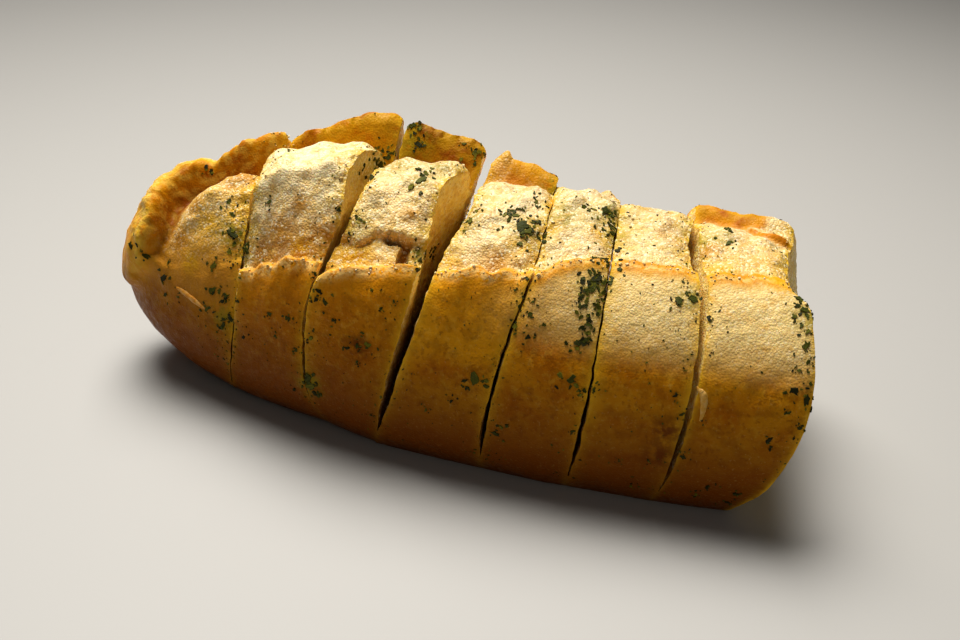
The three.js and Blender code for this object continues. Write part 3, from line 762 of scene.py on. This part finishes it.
def blotched(spots_seen):
    """A mask of round blotches under pixels of the picture."""
    places = vertex_places(loaf)
    mask = np.zeros(len(places))
    for across, down, radius in spots_seen:
        place, _ = seen_at(across, down)
        if place:
            away = np.linalg.norm(places - np.array(place), axis=1)
            mask = np.maximum(mask, bell(away, radius * MM))
    return mask


for name, spots_seen in BLOTCHES.items():
    paint(loaf, name, blotched(spots_seen))


def colour(red, green, blue):
    """A screen colour, 0 to 255, as the linear colour that a shader takes."""
    screen = np.array([red, green, blue]) / 255
    linear = np.where(screen <= 0.04045, screen / 12.92, ((screen + 0.055) / 1.055) ** 2.4)
    return (*linear.tolist(), 1)


def feed(tree, node, inputs):
    """Links outputs of other nodes to a node's inputs, and sets constant ones."""
    for socket, value in inputs.items():
        if isinstance(value, bpy.types.NodeSocket):
            tree.links.new(value, node.inputs[socket])
        else:
            node.inputs[socket].default_value = value


def add_node(tree, kind, inputs=None, **settings):
    made = tree.nodes.new(kind)
    for name, value in settings.items():
        setattr(made, name, value)
    feed(tree, made, inputs or {})
    return made


def blended(tree, share, first, second):
    """A colour between two colours."""
    return add_node(tree, "ShaderNodeMix", {0: share, 6: first, 7: second}, data_type="RGBA").outputs[2]


def ramped(tree, value, low, high):
    inputs = {"Value": value, "From Min": low, "From Max": high}
    return add_node(tree, "ShaderNodeMapRange", inputs, interpolation_type="SMOOTHSTEP").outputs["Result"]


def combined(tree, operation, first, second):
    return add_node(tree, "ShaderNodeMath", {0: first, 1: second}, operation=operation).outputs[0]


def painted(tree, name):
    return add_node(tree, "ShaderNodeAttribute", attribute_name=name).outputs["Fac"]


def new_material(name):
    material = bpy.data.materials.new(name)
    material.use_nodes = True
    tree = material.node_tree
    return material, tree, tree.nodes["Principled BSDF"]


def shared_group(name, inputs, output, kind):
    """A node group for several materials: its tree, its inputs inside it and its output."""
    group = bpy.data.node_groups.new(name, "ShaderNodeTree")
    for label in inputs:
        group.interface.new_socket(label, in_out="INPUT", socket_type="NodeSocketFloat")
    group.interface.new_socket(output, in_out="OUTPUT", socket_type=kind)
    given = group.nodes.new("NodeGroupInput").outputs
    return group, given, group.nodes.new("NodeGroupOutput").inputs[output]


SPOT_DETAIL = 3.0
spots_group, spot, spots_out = shared_group("spots", ("Pitch", "Low", "High"), "Mask", "NodeSocketFloat")
spots_noise = add_node(spots_group, "ShaderNodeTexNoise", {
    "Vector": add_node(spots_group, "ShaderNodeTexCoord").outputs["Object"],
    "Scale": combined(spots_group, "DIVIDE", 1 / MM, spot["Pitch"]),
    "Detail": SPOT_DETAIL,
})
spots_group.links.new(ramped(spots_group, spots_noise.outputs["Fac"], spot["Low"], spot["High"]), spots_out)


def spots(tree, pitch, low, high):
    """A mask of soft spots about this many millimetres apart, from 0 to 1."""
    inputs = {"Pitch": pitch, "Low": low, "High": high}
    return add_node(tree, "ShaderNodeGroup", inputs, node_tree=spots_group).outputs["Mask"]


def layered(tree, base, layers):
    """Lays colours over a base: each by a painted mask, by spots (pitch, low, high) or by both."""
    tone = base
    for mask, spread, most, over in layers:
        amount = most
        if mask:
            amount = combined(tree, "MULTIPLY", painted(tree, mask), amount)
        if spread:
            amount = combined(tree, "MULTIPLY", spots(tree, *spread), amount)
        tone = blended(tree, amount, tone, over)
    return tone


def ranged(tree, value, low, high):
    """A value from 0 to 1 stretched to lie between two others."""
    inputs = {"Value": value, "To Min": low, "To Max": high}
    return add_node(tree, "ShaderNodeMapRange", inputs).outputs["Result"]


GOLD, DEEP_GOLD, BROWNED = colour(222, 152, 18), colour(190, 110, 6), colour(112, 55, 3)
PALE_CRUST, LIP_ORANGE, PALE_EDGE = colour(226, 195, 126), colour(236, 154, 20), colour(236, 196, 118)
BROW_YELLOW, KNOB_GOLD, POCKET_GOLD = colour(214, 166, 24), colour(224, 184, 70), colour(222, 164, 20)
CREAM, GOLDEN_CREAM, TOASTED = colour(240, 222, 180), colour(222, 184, 112), colour(178, 118, 30)
SOAKED, SOAKED_GOLD, BUTTER = colour(196, 164, 54), colour(232, 182, 66), colour(226, 176, 34)
GILT, SHADE_BROWN, MOSS = colour(222, 172, 60), colour(132, 70, 8), colour(136, 124, 22)
DULL_CREAM, PAINTED_LIGHT_CREAM, DARK_BROWN = colour(214, 196, 154), colour(255, 238, 190), colour(92, 38, 6)
WARM_CRUST = colour(204, 146, 44)
CUT_YELLOW, CUT_BROWN, CUT_LIGHT_PAINT = colour(250, 218, 112), colour(220, 170, 70), colour(252, 228, 140)
FOLD_ORANGE, FOLD_BROWN, FOLD_SHADE = colour(202, 122, 4), colour(158, 82, 2), colour(116, 52, 2)
PIT_GOLD, GRAIN_GLINT_PAINT, CRUST_LIGHT = colour(188, 138, 52), colour(255, 246, 208), colour(234, 178, 56)
SHEEN_TINT = (1.0, 0.72, 0.30, 1)
GRAIN_MM, GRAIN_LUMPS, GRAIN_LUMP_SHARE = 0.42, (1.6, 0.2, 0.8), 1.2
PALE_GRAIN, CRUST_GRAIN = 0.5, 0.5
BRIGHT_GRAINS, BRIGHT_MOST = (0.7, 0.95), 0.5
DARK_GRAINS, DARK_MOST = (0.3, 0.05), 0.4
GRAIN_BUMP = {"Strength": 0.55, "Distance": 0.26 * MM}
BUTTERY_SPOTS, BUTTERY_ROUGHNESS = (1.3, 0.35, 0.65), (0.55, 0.32)
CRUST_SHINE, CRUMB_SHINE = 0.08, 0.35
CRUMB_SCATTER = {
    "Subsurface Weight": 0.12, "Subsurface Radius": (1.0, 0.55, 0.12), "Subsurface Scale": 1.4 * MM,
}

# Colours laid over one another: by a painted mask, by spots (pitch in mm, low, high) or by both, and how much
CRUST_LAYERS = [
    (None, (7, 0.40, 0.72), 1, DEEP_GOLD),
    ("deep", None, 1, DEEP_GOLD),
    (None, (1.3, 0.5, 0.7), 0.4, CRUST_LIGHT),
    # Darker towards the bottom: partly browned crust, partly painted shade
    ("low", None, 1, BROWNED),
    (None, (2.4, 0.45, 0.66), 0.35, BROWNED),
    (None, (0.9, 0.54, 0.7), 0.45, BROWNED),
    ("lip", (4, 0.25, 0.5), 1, LIP_ORANGE),
    ("warm", None, 1, WARM_CRUST),
    ("pale", (2.4, 0.1, 0.5), 1, PALE_CRUST),
    (None, (0.5, 0.6, 0.72), 0.12, PALE_CRUST),
    ("crest", (0.9, 0.34, 0.55), 0.8, PALE_EDGE),
    ("brow", (3, 0.3, 0.6), 1, BROW_YELLOW),
    ("knob", (1.8, 0.35, 0.6), 0.9, KNOB_GOLD),
]
CRUMB_LAYERS = [
    ("dull", None, 1, DULL_CREAM),
    # Painted light on the upper crumb of the second slice
    ("painted_crumb_light", None, 1, PAINTED_LIGHT_CREAM),
    (None, (2.2, 0.42, 0.66), 0.6, GOLDEN_CREAM),
    ("toast", None, 0.8, GOLDEN_CREAM),
    ("toast", (6, 0.46, 0.66), 1, TOASTED),
    ("soak", (3, 0.22, 0.55), 0.9, SOAKED_GOLD),
    ("edge", (2.2, 0.3, 0.62), 1, SOAKED),
    ("gilt", (1.6, 0.25, 0.5), 0.8, GILT),
    # Painted shade, dark brown in the cave under the ledge
    ("cave", None, 1, SHADE_BROWN),
]
CUT_LAYERS = [
    (None, (2.0, 0.38, 0.62), 1, CUT_BROWN),
    # Painted light: cut walls paler near the skin and high up
    ("painted_cut_light", (1.5, 0.2, 0.5), 0.8, CUT_LIGHT_PAINT),
    ("buttered", (2.6, 0.2, 0.55), 0.85, SOAKED_GOLD),
    # Painted shade, dark brown low down inside the cuts
    ("inner", None, 0.9, SHADE_BROWN),
]
FOLD_LAYERS = [
    (None, (4, 0.35, 0.65), 1, FOLD_BROWN),
    # Painted shade: the fold darkened at its foot, and all over on the second and third slices
    ("foot", None, 1, FOLD_SHADE),
    ("brow", (3, 0.3, 0.6), 1, BROW_YELLOW),
    ("knob", (1.8, 0.42, 0.66), 0.8, KNOB_GOLD),
]
RIM_LAYER = ("rim", (3, 0.2, 0.5), 0.85, BUTTER)
BLOTCH_LAYERS = [
    # Browned by toasting, and in two blotches painted shade
    ("toasted_and_shaded", (1.8, 0.15, 0.5), 0.95, TOASTED),
    # Dark brown, in two blotches painted shade
    ("darkened", (1.5, 0.3, 0.6), 0.9, DARK_BROWN),
    ("pocket", (1.6, 0.3, 0.55), 0.9, POCKET_GOLD),
    ("stain", (1.4, 0.36, 0.56), 0.8, MOSS),
]


def bread_material():
    material, tree, shader = new_material("garlic_bread")
    tone = layered(tree, layered(tree, GOLD, CRUST_LAYERS), [
        ("crumb", None, 1, layered(tree, CREAM, CRUMB_LAYERS)),
        ("fold", None, 1, layered(tree, FOLD_ORANGE, FOLD_LAYERS)),
        RIM_LAYER,
        ("cut", None, 1, layered(tree, CUT_YELLOW, CUT_LAYERS)),
        *BLOTCH_LAYERS,
    ])

    where = add_node(tree, "ShaderNodeTexCoord").outputs["Object"]
    grains = add_node(tree, "ShaderNodeTexVoronoi", {"Vector": where, "Scale": 1 / (GRAIN_MM * MM)})
    softness = combined(tree, "MAXIMUM", painted(tree, "crumb"), painted(tree, "cut"))
    pale_grain = combined(tree, "MULTIPLY", painted(tree, "pale"), PALE_GRAIN)
    grainy = combined(tree, "MAXIMUM", softness, pale_grain)
    chance = add_node(tree, "ShaderNodeSeparateColor", {"Color": grains.outputs["Color"]}).outputs["Red"]
    # Dark grains, and bright grains that are partly pale crumb and partly painted glints of wet butter
    for limits, most, grain_colour in (
        (DARK_GRAINS, DARK_MOST, PIT_GOLD),
        (BRIGHT_GRAINS, BRIGHT_MOST, GRAIN_GLINT_PAINT),
    ):
        amount = combined(tree, "MULTIPLY", ramped(tree, chance, *limits), grainy)
        tone = blended(tree, combined(tree, "MULTIPLY", amount, most), tone, grain_colour)

    lumps = combined(tree, "MULTIPLY", spots(tree, *GRAIN_LUMPS), GRAIN_LUMP_SHARE)
    beads = combined(tree, "SUBTRACT", lumps, grains.outputs["Distance"])
    height = combined(tree, "MULTIPLY", beads, ranged(tree, grainy, CRUST_GRAIN, 1))
    feed(tree, shader, {
        "Base Color": tone,
        "Normal": add_node(tree, "ShaderNodeBump", {**GRAIN_BUMP, "Height": height}).outputs["Normal"],
        "Roughness": ranged(tree, spots(tree, *BUTTERY_SPOTS), *BUTTERY_ROUGHNESS),
        "Specular IOR Level": ranged(tree, grainy, CRUST_SHINE, CRUMB_SHINE),
        "Specular Tint": SHEEN_TINT,
        **CRUMB_SCATTER,
    })
    return material


loaf.data.materials.clear()
loaf.data.materials.append(bread_material())
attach(loaf, "root")
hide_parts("loaf")

# Herb flakes
# Dried parsley leaf, thin and angular, stuck down by the butter. The large flakes lie where the
# picture has them, and a seeded rule spreads more along the cuts and on the side that isn't seen.

# Flakes by pixel across, pixel down and size in mm, and mashes by pixels, radius in mm and number of bits
FLAKE_SPOTS = [
    (131, 246, 2.2), (145, 256, 2.6), (164, 278, 2.9), (169, 262, 1.0), (178, 297, 1.2), (207, 309, 1.8),
    (213, 290, 2.3), (214, 265, 2.2), (232, 233, 3.4), (229, 201, 1.8), (245, 250, 2.0), (206, 167, 1.9),
    (269, 202, 1.3), (289, 150, 1.2), (270, 314, 1.4), (289, 319, 1.8), (275, 336, 1.0), (222, 328, 1.5),
    (223, 319, 1.0), (230, 316, 1.0), (226, 298, 1.3), (238, 301, 1.2), (296, 350, 1.2), (311, 338, 1.2),
    (316, 300, 1.6), (325, 302, 2.0), (319, 291, 1.6), (333, 320, 1.2), (308, 377, 2.6), (310, 386, 2.8),
    (347, 348, 1.5), (315, 274, 1.4), (368, 345, 1.9), (357, 346, 1.5), (357, 362, 1.0), (372, 290, 0.9),
    (394, 301, 0.9), (380, 310, 0.9), (371, 415, 0.9), (475, 379, 3.2), (468, 388, 1.3), (451, 401, 1.2),
    (426, 410, 1.1), (421, 180, 3.4), (426, 174, 2.4), (412, 126, 1.8), (419, 145, 2.6), (464, 144, 1.2),
    (475, 154, 2.0), (380, 165, 2.6), (372, 178, 2.2), (388, 158, 2.2), (339, 210, 1.2), (470, 221, 2.2),
    (477, 211, 1.4), (433, 257, 1.6), (418, 253, 1.6), (417, 270, 1.5), (516, 216, 2.4), (523, 226, 3.0),
    (529, 231, 2.4), (527, 279, 1.3), (515, 290, 1.0), (519, 306, 1.2), (515, 326, 1.6), (528, 337, 1.4),
    (508, 214, 2.2), (537, 207, 1.1), (558, 177, 2.0), (584, 207, 1.6), (605, 211, 2.8), (611, 215, 2.2),
    (614, 228, 1.5), (618, 251, 1.6), (605, 259, 2.4), (597, 278, 2.8), (590, 290, 2.4), (593, 284, 2.2),
    (598, 307, 1.8), (583, 306, 1.3), (589, 325, 2.3), (584, 343, 2.4), (544, 325, 1.3), (525, 293, 1.0),
    (533, 302, 1.1), (530, 314, 1.7), (571, 379, 2.6), (580, 395, 1.3), (594, 390, 1.7), (573, 431, 1.0),
    (495, 433, 2.4), (679, 301, 2.5), (693, 299, 2.3), (683, 282, 1.1), (709, 319, 1.4), (728, 243, 2.2),
    (728, 229, 2.0), (799, 299, 2.0), (805, 310, 2.4), (806, 346, 2.6), (808, 362, 1.4), (799, 371, 1.2),
    (795, 391, 2.1), (807, 400, 2.4), (788, 413, 1.2), (800, 428, 1.4), (769, 440, 1.9), (778, 478, 2.0),
    (760, 502, 2.2), (727, 502, 1.4), (736, 494, 1.6), (707, 487, 1.5), (696, 494, 1.4), (683, 457, 1.6),
    (631, 486, 1.1), (619, 460, 0.8), (676, 395, 1.5), (682, 414, 1.3), (648, 460, 0.8),
]
MASHES = [
    (374, 166, 3.4, 26), (388, 150, 2.4, 12), (240, 246, 2.4, 12), (420, 262, 2.6, 12), (432, 250, 2.0, 8),
    (527, 224, 2.8, 26), (515, 215, 2.4, 14), (530, 236, 2.2, 12), (540, 200, 2.0, 8), (606, 224, 2.8, 16),
    (596, 282, 2.4, 34), (600, 262, 2.0, 10), (590, 300, 2.0, 18), (564, 182, 1.8, 8), (310, 384, 2.0, 10),
    (224, 300, 2.4, 10), (412, 132, 2.4, 12), (476, 156, 2.0, 8), (806, 314, 2.4, 12), (232, 322, 2.4, 10),
    (357, 224, 2.0, 8), (588, 325, 2.2, 14), (584, 343, 2.0, 10),
]
MASH_SIZES, MASH_SPREAD = (0.4, 1.3), 0.6
UNSEEN_FLAKES, UNSEEN_ANGLES, UNSEEN_SIZES = 90, (38, 118), (0.9, 2.6)
FLAKE_SIDES, FLAKE_JITTER = 11, 0.35
FLAKE_REACHES, FLAKE_WIDTHS, FLAKE_CURLS = (0.5, 1.2), (0.45, 0.85), (-0.12, 0.22)
FLAKE_TILT, FLAKE_SPREAD = 14, 3.0
MIDDLE_SHARE, LEAST_INSET, RIGHT_CUT_SHARE = 0.5, 0.5, 0.55
MAIN_BIT = 0.8
CLUSTER_BITS, CLUSTER_REACH, CLUSTER_SIZES = 5, 0.55, (0.2, 0.5)
FLAKE_THICKNESS, FLAKE_SINK = 0.26, 0.03
FLAKE_GREEN, FLAKE_DARK, FLAKE_OLIVE = colour(66, 70, 12), colour(34, 34, 8), colour(118, 112, 24)
DARK_TINTS, OLIVE_TINTS = (0.0, 0.55), (0.7, 1.0)
FLAKE_LAYERS = [(None, (0.7, 0.4, 0.7), 0.5, FLAKE_DARK)]
FLAKE_BUMPS = {"Pitch": 0.35, "Strength": 0.5, "Distance": 0.12}
FLAKE_FINISH = {"Roughness": 0.6, "Specular IOR Level": 0.1}
LOOK_FROM = 12
FLAKE_SEED = 71
herb_draw = random.Random(FLAKE_SEED)


def upright(out):
    """A turn that stands a flake's own up along the surface's way out."""
    return Vector((0, 0, 1)).rotation_difference(out).to_matrix()


def flake_plate(draw, size, thickness, sides, curl):
    """A jagged plate about its own middle: an outline and a middle point, above and below."""
    width = draw.uniform(*FLAKE_WIDTHS)
    points, faces, outline = [], [], []
    for side in range(sides):
        around = 2 * math.pi * (side + draw.uniform(-FLAKE_JITTER, FLAKE_JITTER)) / sides
        reach = size / 2 * draw.uniform(*FLAKE_REACHES)
        outline.append((reach * math.cos(around), reach * math.sin(around) * width))
    for level in (-0.5, 0.5):
        for x, y in outline:
            points.append((x, y, level * thickness + curl * (x * x - y * y) / size))
        points.append((0, 0, level * thickness))
    lower, upper = sides, 2 * sides + 1
    for side in range(sides):
        beside = (side + 1) % sides
        faces.append((lower, beside, side))
        faces.append((upper, sides + 1 + side, sides + 1 + beside))
        faces.append((side, beside, sides + 1 + beside, sides + 1 + side))
    return points, faces


def scatter(name, spots_on_loaf, shape):
    """Joins one small shape for each spot into one piece, with a tint for each shape."""
    points, faces, tints = [], [], []
    for place, out, size, turn, tilt, tint in spots_on_loaf:
        shape_points, shape_faces = shape(size)
        lie = upright(out) @ Matrix.Rotation(turn, 3, "Z") @ Matrix.Rotation(tilt, 3, "X")
        start = len(points)
        points.extend(place + lie @ (Vector(point) * MM) for point in shape_points)
        faces.extend(tuple(corner + start for corner in face) for face in shape_faces)
        tints.extend([tint] * len(shape_points))
    piece = new_piece(name, [tuple(point) for point in points], faces)
    paint(piece, "tint", tints)
    return piece


def spot_for(draw, place, out, size, sink):
    turn, tilt = draw.uniform(0, 2 * math.pi), math.radians(draw.uniform(-FLAKE_TILT, FLAKE_TILT))
    return place + out * (size * sink * MM), out, size, turn, tilt, draw.random()


def on_skin(index, share, angle):
    """The place on the finished loaf at a share of a slice and an angle round it."""
    here = Vector(to_row(skin_points(np.array(index), np.array(share), np.array(float(angle)))))
    middle = Vector(to_row((0, 0, MIDDLE_HEIGHT)))
    middle.x = here.x
    away = (here - middle).normalized()
    return surface.ray_cast(here + away * (LOOK_FROM * MM), -away)[:2]


def near_cut(draw, spread):
    """A slice, and a share of it close to one of its cuts."""
    index = draw.randrange(len(SLICES))
    length = float(slice_length(np.array(index)))
    inset = min(MIDDLE_SHARE, (LEAST_INSET + draw.expovariate(1 / spread)) / length)
    return index, 1 - inset if index == NUB or draw.random() < RIGHT_CUT_SHARE else inset


def aside_of(draw, place, out, spread, reach):
    """A place on the loaf a little aside of another, and the way out of the surface there."""
    aside = upright(out) @ Vector((draw.gauss(0, spread), draw.gauss(0, spread), 0))
    return surface.find_nearest(place + aside * (reach * MM))[:2]


flake_spots = []
for across, down, size in FLAKE_SPOTS:
    place, out = seen_at(across, down)
    if place:
        flake_spots.append(spot_for(herb_draw, place, out, size * MAIN_BIT, FLAKE_SINK))
        for _ in range(CLUSTER_BITS):
            near = aside_of(herb_draw, place, out, 1, size * CLUSTER_REACH)
            bit = size * herb_draw.uniform(*CLUSTER_SIZES)
            flake_spots.append(spot_for(herb_draw, *near, bit, FLAKE_SINK))
for across, down, radius, bits in MASHES:
    place, out = seen_at(across, down)
    for _ in range(bits if place else 0):
        near = aside_of(herb_draw, place, out, MASH_SPREAD, radius)
        flake_spots.append(spot_for(herb_draw, *near, herb_draw.uniform(*MASH_SIZES), FLAKE_SINK))
for _ in range(UNSEEN_FLAKES):
    place, out = on_skin(*near_cut(herb_draw, FLAKE_SPREAD), herb_draw.uniform(*UNSEEN_ANGLES))
    if place:
        flake_spots.append(spot_for(herb_draw, place, out, herb_draw.uniform(*UNSEEN_SIZES), FLAKE_SINK))

BUMP_SPOTS = (0.2, 0.8)
bumps_group, bumpy, bumps_out = shared_group(
    "bumps", ("Pitch", "Strength", "Distance"), "Normal", "NodeSocketVector",
)
bumps_node = add_node(bumps_group, "ShaderNodeBump", {
    "Strength": bumpy["Strength"],
    "Distance": combined(bumps_group, "MULTIPLY", bumpy["Distance"], MM),
    "Height": spots(bumps_group, bumpy["Pitch"], *BUMP_SPOTS),
})
bumps_group.links.new(bumps_node.outputs["Normal"], bumps_out)


def dress(tree, shader, tone, bumps, finish):
    """Gives a shader its colour, its bumps with their pitch and height in millimetres, and its finish."""
    bumped = add_node(tree, "ShaderNodeGroup", bumps, node_tree=bumps_group)
    feed(tree, shader, {"Base Color": tone, "Normal": bumped.outputs["Normal"], **finish})


def herb_material():
    material, tree, shader = new_material("dried_parsley")
    tint = painted(tree, "tint")
    tone = blended(tree, ramped(tree, tint, *DARK_TINTS), FLAKE_DARK, FLAKE_GREEN)
    tone = blended(tree, ramped(tree, tint, *OLIVE_TINTS), tone, FLAKE_OLIVE)
    dress(tree, shader, layered(tree, tone, FLAKE_LAYERS), FLAKE_BUMPS, FLAKE_FINISH)
    return material


flakes = scatter("herb_flakes", flake_spots, lambda size: flake_plate(
    herb_draw, size, FLAKE_THICKNESS, FLAKE_SIDES, herb_draw.uniform(*FLAKE_CURLS)))
flakes.data.materials.append(herb_material())
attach(flakes, "root")

# Herb specks
# The dust of the same dried parsley, a fraction of a millimetre across, which the knife and the
# butter carried along the cut edges and over the crumb.
SPECK_COUNT, SPECK_SPREAD, SPECK_ANGLES = 1500, 2.4, (-118, 118)
SPECK_SIZES, SPECK_SIDES, SPECK_THICKNESS = (0.25, 0.75), 5, 0.16
SPECK_SEED = 23
speck_draw = random.Random(SPECK_SEED)
speck_spots = []
while len(speck_spots) < SPECK_COUNT:
    place, out = on_skin(*near_cut(speck_draw, SPECK_SPREAD), speck_draw.uniform(*SPECK_ANGLES))
    if place:
        size = mix(*SPECK_SIZES, speck_draw.random() ** 2)
        speck_spots.append(spot_for(speck_draw, place, out, size, FLAKE_SINK))
specks = scatter("herb_specks", speck_spots, lambda size: flake_plate(
    speck_draw, size, SPECK_THICKNESS, SPECK_SIDES, 0))
specks.data.materials.append(flakes.data.materials[0])
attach(specks, "root")

# Crust scraps
# Strips that the knife tore from the crust: one on the nub and one down the last cut. Each stays
# stuck to the loaf along its length.
SCRAP_STEPS, SCRAP_COLUMNS = 14, 5
SCRAP_THICKNESS, SCRAP_SINK = 0.5, 0.15
SCRAP_END_SHARE, SCRAP_UNEVEN = 0.3, (0.8, 1.2)
SCRAPS = [
    {"pixels": ((176, 287), (190, 297), (205, 309)), "width": 1.1, "rise": 0.3, "tint": 0.9},
    {"pixels": ((697, 387), (704, 398), (700, 422)), "width": 1.3, "rise": 0.3, "tint": 0.3},
]
SCRAP_PALE, SCRAP_ORANGE = colour(206, 160, 66), colour(214, 134, 16)
TORN_LAYERS = [(None, (0.9, 0.4, 0.65), 0.5, GOLDEN_CREAM)]
TORN_BUMPS = {"Pitch": 0.5, "Strength": 0.6, "Distance": 0.2}
TORN_FINISH = {"Roughness": 0.5, "Specular IOR Level": 0.2, **CRUMB_SCATTER}
SCRAP_SEED = 5
scrap_draw = random.Random(SCRAP_SEED)


def ribbon(scrap):
    """Points of a strip that lies on the loaf under three pixels, narrow at its ends."""
    (start, start_out), (middle, middle_out), (end, end_out) = (seen_at(*pixel) for pixel in scrap["pixels"])
    bend = middle * 2 - (start + end) / 2
    points = []
    for step in range(SCRAP_STEPS):
        t = step / (SCRAP_STEPS - 1)
        centre = start * (1 - t) ** 2 + bend * (2 * t * (1 - t)) + end * t ** 2
        ahead = (bend - start) * (1 - t) + (end - bend) * t
        out = (start_out * (1 - t) + end_out * t + middle_out).normalized()
        across = ahead.cross(out).normalized()
        half = scrap["width"] * MM / 2 * mix(SCRAP_END_SHARE, 1, math.sin(math.pi * t))
        half = half * scrap_draw.uniform(*SCRAP_UNEVEN)
        for column in range(SCRAP_COLUMNS):
            side = 2 * column / (SCRAP_COLUMNS - 1) - 1
            place = surface.find_nearest(centre + across * half * side)[0]
            arch = scrap["rise"] * (1 - side * side) * math.sin(math.pi * t) - SCRAP_SINK
            points.append(place + out * (arch * MM))
    return points


strip_faces = band_faces(SCRAP_STEPS, SCRAP_COLUMNS, False)
per_scrap = SCRAP_STEPS * SCRAP_COLUMNS
scraps = new_piece(
    "crust_scraps",
    [tuple(point) for scrap in SCRAPS for point in ribbon(scrap)],
    np.concatenate([strip_faces + number * per_scrap for number in range(len(SCRAPS))]).tolist(),
)
finish_with(scraps, "SOLIDIFY", thickness=SCRAP_THICKNESS * MM, offset=0)
finish_with(scraps, "SUBSURF", levels=1)
pick(scraps)
bpy.ops.object.shade_smooth()
on_nub = vertex_places(scraps)[:, 0] < 0
paint(scraps, "tint", np.where(on_nub, SCRAPS[0]["tint"], SCRAPS[1]["tint"]))


def torn_material(name, first, second):
    """Torn crust or crumb: two tones by tint, grainy."""
    material, tree, shader = new_material(name)
    tone = blended(tree, painted(tree, "tint"), first, second)
    dress(tree, shader, layered(tree, tone, TORN_LAYERS), TORN_BUMPS, TORN_FINISH)
    return material


scraps.data.materials.append(torn_material("torn_crust", SCRAP_PALE, SCRAP_ORANGE))
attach(scraps, "root")

# Crumbs
# Loose grains of torn crumb, uneven lumps under a millimetre across. They cling to the buttered lips
# of the crust and to the edges of the cuts.
LIP_CRUMBS, EDGE_CRUMBS = 160, 160
CRUMB_SIZES, CRUMB_SINK, CRUMB_SPREAD = (0.25, 0.8), 0.12, 0.8
LIP_SCATTER, CRUMB_ANGLES = (-0.5, 1.3), (-35, 25)
CRUMB_STRETCH, CRUMB_UNEVEN = (0.6, 1.2), (0.7, 1.25)
CRUMB_SEED = 8
crumb_draw = random.Random(CRUMB_SEED)
bpy.ops.object.select_all(action="DESELECT")
bpy.ops.mesh.primitive_ico_sphere_add(subdivisions=1, radius=0.5)
lump = bpy.context.object
LUMP_CORNERS = [corner.co.copy() for corner in lump.data.vertices]
LUMP_FACES = [tuple(face.vertices) for face in lump.data.polygons]
bpy.data.objects.remove(lump)


def crumb_lump(size):
    """A lump of twenty uneven triangles."""
    stretch = Vector([crumb_draw.uniform(*CRUMB_STRETCH) for _ in range(3)])
    points = [corner * stretch * (size * crumb_draw.uniform(*CRUMB_UNEVEN)) for corner in LUMP_CORNERS]
    return points, LUMP_FACES


crumb_spots = []
while len(crumb_spots) < LIP_CRUMBS + EDGE_CRUMBS:
    if len(crumb_spots) < LIP_CRUMBS:
        index, share = crumb_draw.randrange(1, len(SLICES)), crumb_draw.random()
        station = station_of(np.array(index), share)
        offset = crumb_draw.uniform(*LIP_SCATTER)
        angle = float(lip_angle(np.array(index), share, station)) + math.degrees(offset / CROWN_RISE)
    else:
        index, share = near_cut(crumb_draw, CRUMB_SPREAD)
        angle = crumb_draw.uniform(*CRUMB_ANGLES)
    place, out = on_skin(index, share, angle)
    if place:
        size = mix(*CRUMB_SIZES, crumb_draw.random() ** 2)
        crumb_spots.append(spot_for(crumb_draw, place, out, size, CRUMB_SINK))
crumbs = scatter("crumbs", crumb_spots, crumb_lump)
pick(crumbs)
bpy.ops.object.shade_smooth()
crumbs.data.materials.append(torn_material("torn_crumb", CREAM, GOLDEN_CREAM))
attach(crumbs, "root")
